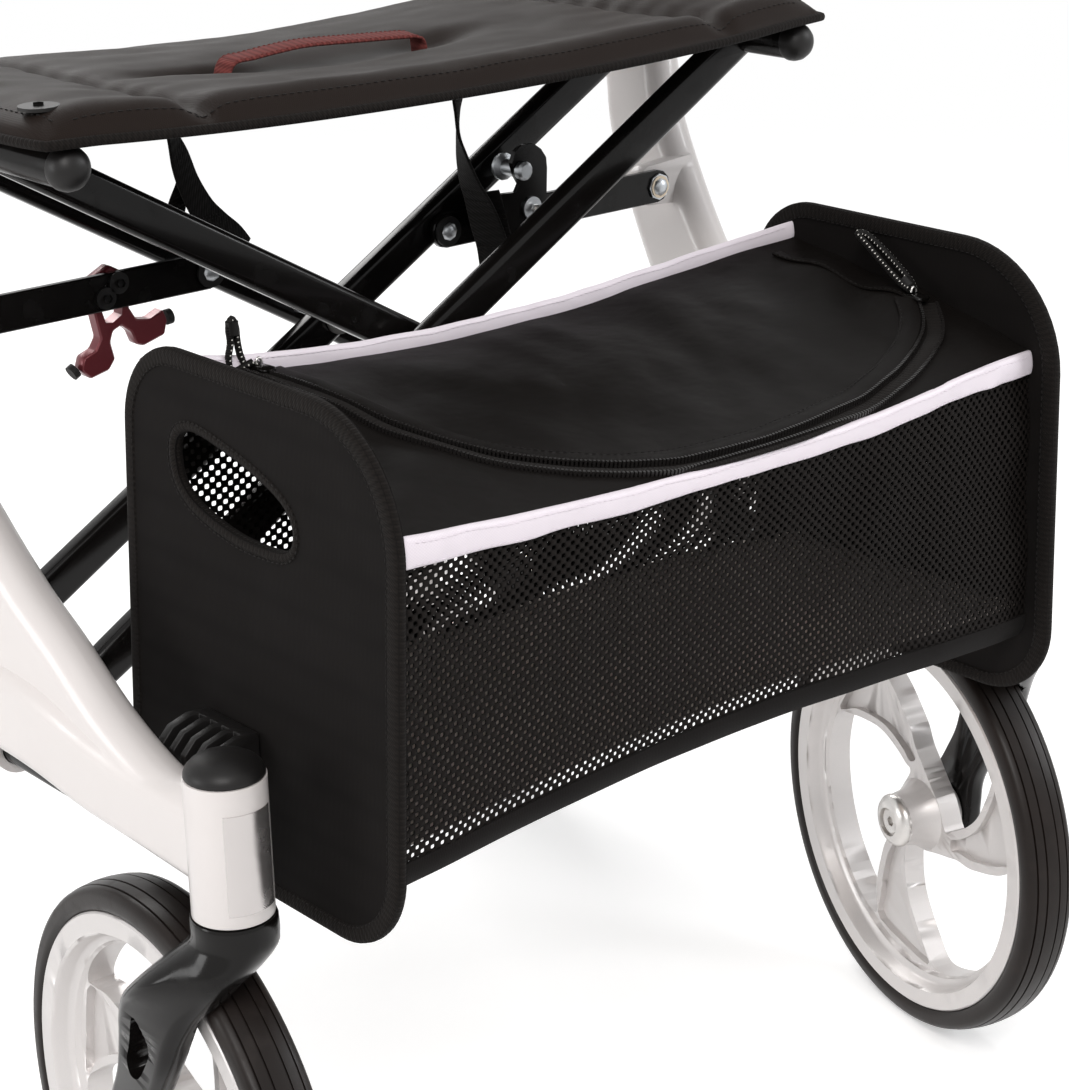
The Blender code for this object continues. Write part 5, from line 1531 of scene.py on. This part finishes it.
class FRAME_OT_seat(bpy.types.Operator):
    """Build the padded seat with its edge tape, sewn channels, snaps, pull strap and the padded backrest"""

    bl_idname = "walkingframe.seat"
    bl_label = "Seat and backrest"

    def execute(self, context):
        pad = piece("Seat_pad", seat_pad(150, 76), "seat cloth", 60)
        tape = [seat_point(u, v, False) + Vector((0, 0, 1.6)) for u, v in seat_edge()]
        binding = band("Seat_edge_tape", tape, Z, "binding tape", 4.6, 4.0, loop=True, corner=1.8)
        rows = [[seat_point(u / 60, v, True, 0.15) for u in range(-55, 56)] for v in (-0.935, 0.945)]
        for u, reach in ((-CHANNEL, 37), (CHANNEL, 37), (-0.955, 36), (0.955, 36)):
            rows.append([seat_point(u, v / 40, True, 0.15) for v in range(-reach, reach + 1)])
        thread = stitches("Seat_stitches", rows, "black thread", 4.2, 3.0, 0.8, 0.7)
        strap = self.pull_strap()
        corners = ((-0.935, -0.75), (0.86, -0.75), (-0.93, 0.8), (0.93, 0.8))
        places = [(seat_point(u, v, True, 1.2), (0, 0, 1)) for u, v in corners]
        snaps = screw_heads("Seat_snaps", places, 8.4, 2.0, 9.2, 2.6, "gloss black paint", "black plastic")
        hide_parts("seat")
        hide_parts("seat_strap")
        slots = [("seat_fabric", (pad, binding, thread)), ("steel", (snaps,)), ("webbing_red", strap)]
        for slot, pieces in slots:
            for obj in pieces:
                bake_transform(obj)
        self.backrest()
        return {"FINISHED"}

    def pull_strap(self):
        """The strap comes up through a slit, lies across the hollow and tapers into the cloth at its far end."""
        rows = [
            (-89, -80, 568), (-87, -80, 577), (-82.5, -80, 585.2), (-71, -80, 586.4), (-55, -80, 587.8),
            (-37, -80, 588.5), (-6.5, -80, 586.9), (18, -79, 585.4), (30, -79, 584.2), (34, -79, 580.5),
            (35, -79, 569),
        ]
        path = [(x, y - 4, z + 0.6) for x, y, z in smooth_values(rows, 5)]
        strap = band("Pull_strap", path, lambda k: (0, 1, 0.10), "red strap", 13, 1.6)
        lines = []
        for edge in (-5.6, 5.6):
            lines.append([Vector(p) + Vector((0, edge, 0.95 + 0.56 * edge / 5.6)) for p in path[6:-8]])
        return strap, stitches("Pull_strap_stitches", lines, "red strap", 3.0, 2.0, 0.5, 0.4)

    def backrest(self):
        """A padded band that bows to the rear, with piping along both edges and a sewn line at each end."""
        rings, top, bottom, lines = [], [], [], [[], [], [], []]
        half_span, bow, steps = UPPER_X - 22, 70, 96
        for k in range(steps + 1):
            t = -1 + 2 * k / steps
            depth = 5.5 + 8.5 * (1 - abs(t) ** 6) * (1 - 0.5 * math.exp(-(((abs(t) - 0.86) / 0.03) ** 2)))
            height = 58 - 8 * abs(t) ** 4
            x, y = t * half_span, TUBE_TOP.y + 10 + bow * (1 - t * t)
            normal = Vector((2 * bow * t / half_span, 1, 0)).normalized()
            centre = Vector((x, y, 800))
            ring = []
            for a, b in rounded_box(depth, height, depth * 0.45, 8):
                pinch = 1 - 0.28 * math.exp(-(((abs(b) - height * 0.40) / 2.4) ** 2))
                ripple = 0.5 * noise.noise(Vector((x * 0.02, b * 0.05, a)))
                ring.append(centre + normal * (a * pinch + ripple * (a / depth) * 2) + Z * b)
            rings.append(ring)
            top.append(centre + Z * (height / 2))
            bottom.append(centre - Z * (height / 2))
            for n, (face, level) in enumerate(((-1, 0.40), (-1, -0.40), (1, 0.40), (1, -0.40))):
                lines[n].append(centre + normal * (face * depth * 0.37) + Z * (height * level))
        pad = piece("Backrest_pad", skin(rings), "seat cloth", 60)
        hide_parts("backrest")
        pieces = [pad]
        for edge, path in (("top", top), ("bottom", bottom)):
            pieces.append(piece(f"Backrest_piping_{edge}", tube_along(path, 1.8, 12), "binding tape", 60))
        lines = [line[3:-3] for line in lines]
        pieces.append(stitches("Backrest_stitches", lines, "black thread", 4.2, 3.0, 0.8, 0.7))
        for obj in pieces:
            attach(obj, "side_near")
            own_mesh(obj)


class FRAME_OT_bag(bpy.types.Operator):
    """Build the bag: bound end panels, net walls, floor, hems, ribbons, lid, zip and pull cords"""

    bl_idname = "walkingframe.bag"
    bl_label = "Bag"

    def execute(self, context):
        for name, side in SIDES:
            body = f"side_{name}"
            outline, slot = panel_outline(side), slot_outline()
            dressed(end_panel(f"Bag_panel_{name}", side), body, "bag_fabric", f"bag_panel_{name}")
            dressed(bound_edge(f"Bag_panel_binding_{name}", side, outline, 4.0, 8.8, 1), body, "bag_fabric")
            dressed(bound_edge(f"Hand_slot_binding_{name}", side, slot, 2.6, 5.4, -1), body, "bag_fabric")
            lines = edge_stitches(side, outline, 7.2, 1) + edge_stitches(side, slot, 4.6, -1)
            thread = stitches(f"Panel_stitches_{name}", lines, "black thread", 3.4, 2.5, 0.7, 0.6, True)
            dressed(thread, body, "bag_fabric")
        self.cloth("Bag_lid", "lid", 120, 60, "lid nylon", 1.2, ["bag_lid"])
        self.cloth("Bag_front_net", "front", 90, 34, "bag net", 0.8, ["bag_body"])
        self.cloth("Bag_rear_net", "rear", 90, 34, "rear net", 0.8, [])
        self.cloth("Bag_front_hem", "hem", 90, 10, "panel cloth", 1.6, [])
        self.cloth("Bag_floor", "floor", 60, 40, "board cloth", 2.2, [])
        self.rims()
        self.zip()
        self.cords()
        return {"FINISHED"}

    def held(self, obj, replaces=()):
        if replaces:
            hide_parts(*replaces)
        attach(obj, "side_near")
        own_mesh(obj)

    def cloth(self, name, kind, wide, high, look, thick, nodes):
        rows = bag_rows(kind, wide, high)
        lengths = [0.0]
        middle = [Vector(row[wide // 2]) for row in rows]
        for a, b in zip(middle, middle[1:]):
            lengths.append(lengths[-1] + (b - a).length)
        obj = surface(name, rows, look, thick, lambda j, i: (rows[j][i][0] * MM, lengths[j] * MM))
        across = max(sum((Vector(b) - Vector(a)).length for a, b in zip(row, row[1:])) for row in rows) * MM
        down = max(
            sum((Vector(b[i]) - Vector(a[i])).length for a, b in zip(rows, rows[1:])) for i in (0, wide // 2, wide)
        ) * MM
        if kind in ("lid", "front", "rear"):
            size = area_of(rows)
            min(size, across * down)
        self.held(obj, nodes)

    def rims(self):
        """Reflective ribbon folded over the front and rear rims, with its stitches."""
        for name, rear in (("front", False), ("rear", True)):
            rows, lines = [], [[], []]
            for t, out in ((0, 0.0), (0.3, 0.5), (0.6, 0.7), (0.85, 0.3), (1, 0.0)):
                row = []
                for k in range(121):
                    s = -1 + k / 60
                    high, low = (rear_top(s) + 7.6, rear_top(s) - 2.5) if rear else (front_top(s), front_low(s))
                    z = high + (low - high) * t + 1.1 * noise.noise(Vector((s * 9, t * 1.5, 5)))
                    wave = noise.noise(Vector((s * 7, t, 9))) * 0.5 + 0.35 * noise.noise(Vector((s * 22, t * 3, 2)))
                    tuck = 0 if rear else 2.6 * math.exp(-(((s - 0.86 + 0.05 * t) / 0.035) ** 2)) * (t - 0.35)
                    y = rear_y(s) - 12.4 - out if rear else front_y(s) - 1.6 - out - tuck
                    row.append((bag_x(s, z), y - wave * 0.7, z))
                rows.append(row)
            over, back = [], []
            for k in range(121):
                s = -1 + k / 60
                z = rear_top(s) + 7.6 if rear else front_top(s)
                y = rows[0][k][1]
                over.append((bag_x(s, z), y + 1.7, z + 1.2))
                back.append((bag_x(s, z - 8), y + (3.6 if rear else 4.2), z - (8 if rear else 2)))
            rows = [back, over] + rows
            ribbon = surface(f"Ribbon_{name}", rows, "pale ribbon", 0.7, lambda j, i: (i * 0.0033, j * 0.004), 1)
            self.held(ribbon)
            for k in range(2, 119):
                a, b = Vector(rows[2][k]), Vector(rows[-1][k])
                for line, share in zip(lines, (0.15, 0.88)):
                    line.append(a.lerp(b, share) + Vector((0, -0.95, 0)))
            self.held(stitches(f"Ribbon_stitches_{name}", lines, "pale ribbon", 3.2, 2.3, 0.5, 0.4))

    def zip(self):
        """Double zip round the flap: flap tape with topstitching, two coils, an outer tape and the sliders."""
        self.held(band("Zip_flap_tape", zip_line(-6.4, 1.6), lambda k: self.flat(k, -6.4), "lid nylon", 11, 1.7))
        self.held(band("Zip_outer_tape", zip_line(5.6, 0.9), lambda k: self.flat(k, 5.6), "binding tape", 8, 1.4))
        lines = [zip_line(-3.0, 2.5), zip_line(-10.6, 2.3)]
        self.held(stitches("Zip_stitches", lines, "black thread", 3.2, 2.3, 0.55, 0.5))
        for name, offset, lift in (("inner", 0.0, 1.7), ("outer", 9.6, 1.1)):
            line = [zip_line(offset, lift)]
            teeth = stitches(f"Zip_teeth_{name}", line, "zip teeth", 1.9, 1.1, 4.0, 1.5, kind="tooth", angle=30)
            self.held(teeth)
        seam = [lid_point(182 - 4 * (k / 30), -292 + 95 * (k / 30), 1.0) for k in range(31)]
        self.held(band("Flap_seam", seam, X, "lid nylon", 7, 1.0))
        line = [[p + Vector((-2.4, 0, 0.7)) for p in seam]]
        self.held(stitches("Flap_seam_stitches", line, "black thread", 3.2, 2.3, 0.55, 0.5))

    def flat(self, k, offset):
        return heading(zip_line(offset, 0), k).cross(Z)

    def cords(self):
        """Sliders and their flecked pull cords."""
        near = lid_point(-136, -178, 3.0)
        far = lid_point(182, -292, 3.0)
        for name, at, ahead in (("near", near, Vector((-0.05, 1, 0))), ("far", far, Vector((0.15, 1, 0.02)))):
            ahead.normalize()
            side = ahead.cross(Z).normalized()
            rows = []
            for run, wide, high in ((-6, 5.2, 1.6), (-4.5, 8.4, 2.6), (0, 7.2, 3.2), (4.5, 8.4, 2.6), (6, 4.8, 1.4)):
                outline = rounded_box(wide, high, high * 0.45, 4)
                rows.append([at + ahead * run + side * a + Z * b for a, b in outline])
            body = piece(f"Zip_slider_{name}", skin(rows), "gloss black paint", 50)
            self.held(body)
            angles = [math.pi * k / 10 for k in range(11)]
            eye = at + ahead * 3 + Z * 2.0
            loop = [eye + side * (1.6 * math.cos(a)) + Z * (2.6 * math.sin(a)) for a in angles]
            self.held(piece(f"Zip_ring_{name}", tube_along(loop, 0.7, 8), "plated steel", 60))
        standing = [
            near + Vector((0, 3, 2.5)), (-140, -172, 461.5), (-143.6, -172, 468), (-145.2, -172, 476),
            (-145.6, -172, 483), (-147.5, -172, 487.2), (-149.4, -172, 483), (-149.0, -172, 476),
            (-150.6, -172, 468.5), (-148.6, -172, 462.5), near + Vector((-3, 3.4, 3.2)),
        ]
        lying = [
            far + Vector((1, 3, 3.5)), (185.6, -284, 464.5), (187.6, -272.5, 471), (188.4, -260, 478),
            (188.0, -251, 482.6), (184.4, -248.5, 483), (183.6, -256, 478.6), (182.6, -269, 470.5),
            (181.6, -281.5, 463.4), far + Vector((-1.6, 4, 3.4)),
        ]
        for name, points, stiff in (("near", standing, "stiff"), ("far", lying, "limp")):
            path = [Vector(p) for p in smooth_values(points, 5)]
            length = sum((b - a).length for a, b in zip(path, path[1:])) * MM
            obj = self.cord_tube(f"Pull_cord_{name}", path, 1.7)
            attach(obj, "side_near")
            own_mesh(obj)
            first, last = (0.40, 0.60) if name == "near" else (0.10, 0.90)
            middle = (path[int(first * len(path))] + path[int(last * len(path))]) / 2
            ahead = (path[int((first + 0.04) * len(path))] + path[int((last - 0.04) * len(path))]) / 2 - middle
            ahead = ahead.normalized() * 3.4
            sleeve = tube_along([middle - ahead, middle - ahead * 0.9, middle + ahead * 0.9, middle + ahead],
                                lambda k: (2.4, 3.1, 3.1, 2.4)[k], 16)
            self.held(piece(f"Cord_sleeve_{name}", sleeve, "black plastic", 50))

    def cord_tube(self, name, path, radius):
        """A cord whose UV map runs in metres along it and round it."""
        mesh = tube_along(path, radius, 10)
        mesh.verts.index_update()
        layer = mesh.loops.layers.uv.new("Cloth")
        runs = [0.0]
        for a, b in zip(path, path[1:]):
            runs.append(runs[-1] + (b - a).length)
        for face in mesh.faces:
            places = [divmod(loop.vert.index, 10) for loop in face.loops]
            wrap = max(i for j, i in places) - min(i for j, i in places) > 5
            for loop, (j, i) in zip(face.loops, places):
                around = i + (10 if wrap and i == 0 else 0)
                loop[layer].uv = (runs[j] * MM, around / 10 * math.tau * radius * MM)
        return piece(name, mesh, "flecked cord", 60)


class FRAME_OT_webbing(bpy.types.Operator):
    """Hang the sewn webbing straps between the seat and the brace"""

    bl_idname = "walkingframe.webbing"
    bl_label = "Webbing straps"

    def execute(self, context):
        routes = {
            "near": (-62, 18, [
                (-106, 569, 0.8), (-103.2, 551, 0.78), (-99.5, 538, 0.5), (-95, 524, 0.42), (-88, 510.5, 0.32),
                (-80, 501.5, 0.28), (-72, 494, 0.28), (-66, 486, 0.28)]),
            "near_tail": (-59, 12, [(-94.5, 533, 0.5), (-97, 524, 0.4), (-100.8, 515, 0.2), (-104, 505, 0.1)]),
            "far": (-88, 20, [
                (56, 572, 0.55), (54.7, 553, 0.63), (54, 543, 0.8), (54, 534, 0.9), (55.5, 525, 1.08),
                (57.5, 516, 1.27), (61, 505, 1.48), (66, 494, 1.69), (71, 480, 1.91), (75, 468, 1.95),
                (77, 457, 2.0)]),
            "far_lap": (-91, 14, [(69.5, 499, 2.2), (72.5, 489, 2.25), (76.5, 474, 2.3)]),
        }
        for name, (y, width, points) in routes.items():
            rows = smooth_values([(x, y, z, turning) for x, z, turning in points], 6)
            path = [Vector(row[:3]) for row in rows]
            sides = [Vector((math.cos(row[3]), math.sin(row[3]), 0)) for row in rows]
            strap = band(f"Web_strap_{name}", path, lambda k: sides[k], "black webbing", width, 1.6)
            lines = []
            for share in (0.62, 0.66, 0.70, 0.9):
                k = int(share * (len(path) - 1))
                across = sides[k] * (width * 0.42)
                face = sides[k].cross(Z)
                face *= -1.05 if face.y > 0 else 1.05
                lines.append([path[k] - across + face, path[k] + across + face])
            thread = stitches(f"Web_strap_stitches_{name}", lines, "black thread", 2.2, 1.8, 0.7, 0.6)
            for obj in (strap, thread):
                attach(obj, "brace_second")
        return {"FINISHED"}


class FRAME_OT_stage(bpy.types.Operator):
    """Set the pale floor, the soft lamps, the surround and the camera"""

    bl_idname = "walkingframe.stage"
    bl_label = "Stage"

    def execute(self, context):
        studio, scene = context.scene.studio_settings, context.scene
        data = bpy.data.cameras.new("Camera")
        camera = linked("Camera", data)
        data.lens, data.sensor_width, data.sensor_fit = studio.lens, 36, "AUTO"
        data.clip_start, data.clip_end = 0.05, 60
        back = CAMERA_RIGHT.cross(CAMERA_UP)
        turn = Matrix((CAMERA_RIGHT, CAMERA_UP, back)).transposed().to_4x4()
        camera.matrix_world = Matrix.Translation(CAMERA_AT) @ turn
        scene.camera = camera
        floor_mesh = bmesh.new()
        bmesh.ops.create_grid(floor_mesh, x_segments=1, y_segments=1, size=9000)
        floor = piece("Floor", floor_mesh)
        floor.data.transform(Matrix.Translation((0, 0, -0.0004)))  # a hair below the tyres
        made = Finish("pale floor", 0.9)
        shade = made.grain(6, 4)
        made.feed("Base Color", made.blend(shade, (0.80, 0.80, 0.80, 1), (0.83, 0.83, 0.83, 1)))
        # The floor is plain near the object, where it shows the shadow, and runs into white further out
        reach = made.node("ShaderNodeVectorMath", {"operation": "LENGTH"}, {0: made.place()}, 1)
        away = made.spread(reach, 0, 1, 1.0, 2.8)
        rays = made.node("ShaderNodeLightPath").socket.node.outputs
        seen = Wire(made, rays["Is Camera Ray"])
        for kind in ("Is Glossy Ray", "Is Transmission Ray"):
            seen = seen.sum("MAXIMUM", seen, Wire(made, rays[kind]))
        lift = made.node("ShaderNodeEmission", inputs={"Color": (1, 1, 1, 1), "Strength": 0.42})
        white = made.node("ShaderNodeEmission", inputs={"Color": (1, 1, 1, 1), "Strength": 1.0})
        base = Wire(made, made.shader.outputs[0])
        near = made.node("ShaderNodeAddShader", inputs={0: base, 1: lift})
        whole = made.node("ShaderNodeMixShader", inputs={0: away, 1: near, 2: white})
        shown = made.node("ShaderNodeMixShader", inputs={0: seen, 1: base, 2: whole})
        made.join(made.tree.nodes["Material Output"].inputs["Surface"], shown)
        floor.data.materials.append(made.material)
        self.surround(scene, studio)
        aim = Vector((0, -0.1, 0.35))
        for name, at, size, share, colour in (
            ("Key", (-2.2, -2.4, 3.2), 1.5, 1.0, (1.0, 0.975, 0.96)),
            ("Fill", (2.6, -2.2, 1.9), 1.3, 0.42, (0.97, 0.98, 1.0)),
            ("Back", (0.8, 3.0, 2.8), 1.8, 0.75, (1.0, 0.99, 0.98)),
            ("Low", (-2.6, 0.8, 0.9), 1.0, 0.20, (1, 1, 1)),
        ):
            lamp = bpy.data.lights.new(name, "AREA")
            lamp.shape, lamp.size, lamp.energy, lamp.color = "SQUARE", size, studio.key_level * share, colour
            obj = linked(name, lamp)
            obj.location = at
            obj.rotation_euler = (aim - Vector(at)).to_track_quat("-Z", "Y").to_euler()
        scene.view_settings.view_transform = "Standard"
        return {"FINISHED"}

    def surround(self, scene, studio):
        """White for what is seen, mirrored or seen through, and a softer level for the light it gives."""
        world = bpy.data.worlds.new("Surround")
        world.use_nodes = True
        scene.world = world
        tree = world.node_tree
        tree.nodes.clear()
        rays = add_node(tree, "ShaderNodeLightPath").outputs
        seen = rays["Is Camera Ray"]
        for kind in ("Is Transmission Ray", "Is Glossy Ray"):
            seen = add_node(tree, "ShaderNodeMath", {"operation": "MAXIMUM"}, {0: seen, 1: rays[kind]}).outputs[0]
        light, white = (
            add_node(tree, "ShaderNodeBackground", inputs={"Color": colour, "Strength": strength}).outputs[0]
            for colour, strength in (((1, 0.99, 0.985, 1), studio.world_level), ((1, 1, 1, 1), 1.0))
        )
        mix = add_node(tree, "ShaderNodeMixShader", inputs={0: seen, 1: light, 2: white}).outputs[0]
        add_node(tree, "ShaderNodeOutputWorld", inputs={"Surface": mix})


class FRAME_PT_dressing(bpy.types.Panel):
    """Settings and steps of the walking frame"""

    bl_idname = "FRAME_PT_dressing"
    bl_label = "Walking frame"
    bl_space_type = "VIEW_3D"
    bl_region_type = "UI"
    bl_category = "Walking frame"

    def draw(self, context):
        layout, scene = self.layout, context.scene
        for label, group in (
            ("Paint and metal", scene.frame_finishes), ("Cloth", scene.cloth_finishes),
            ("Studio", scene.studio_settings),
        ):
            box = layout.box()
            box.label(text=label)
            for name in group.__annotations__:
                box.prop(group, name)
        for step in STEPS:
            layout.operator(step.bl_idname)


GROUPS = {"frame_finishes": FrameFinishes, "cloth_finishes": ClothFinishes, "studio_settings": StudioSettings}
STEPS = (
    FRAME_OT_finishes, FRAME_OT_stage, FRAME_OT_metalwork, FRAME_OT_wheels, FRAME_OT_small_parts, FRAME_OT_seat,
    FRAME_OT_bag, FRAME_OT_webbing,
)


def register():
    for kind in (*GROUPS.values(), *STEPS, FRAME_PT_dressing):
        bpy.utils.register_class(kind)
    for name, kind in GROUPS.items():
        setattr(bpy.types.Scene, name, PointerProperty(type=kind))


def unregister():
    for name in GROUPS:
        delattr(bpy.types.Scene, name)
    for kind in (FRAME_PT_dressing, *STEPS[::-1], *GROUPS.values()):
        bpy.utils.unregister_class(kind)


def main():
    register()
    bpy.ops.walkingframe.finishes()
    bpy.ops.walkingframe.stage()
    bpy.ops.walkingframe.metalwork()
    bpy.ops.walkingframe.wheels()
    bpy.ops.walkingframe.small_parts()
    bpy.ops.walkingframe.seat()
    bpy.ops.walkingframe.bag()
    bpy.ops.walkingframe.webbing()
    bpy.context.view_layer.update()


if __name__ == "__main__":
    main()
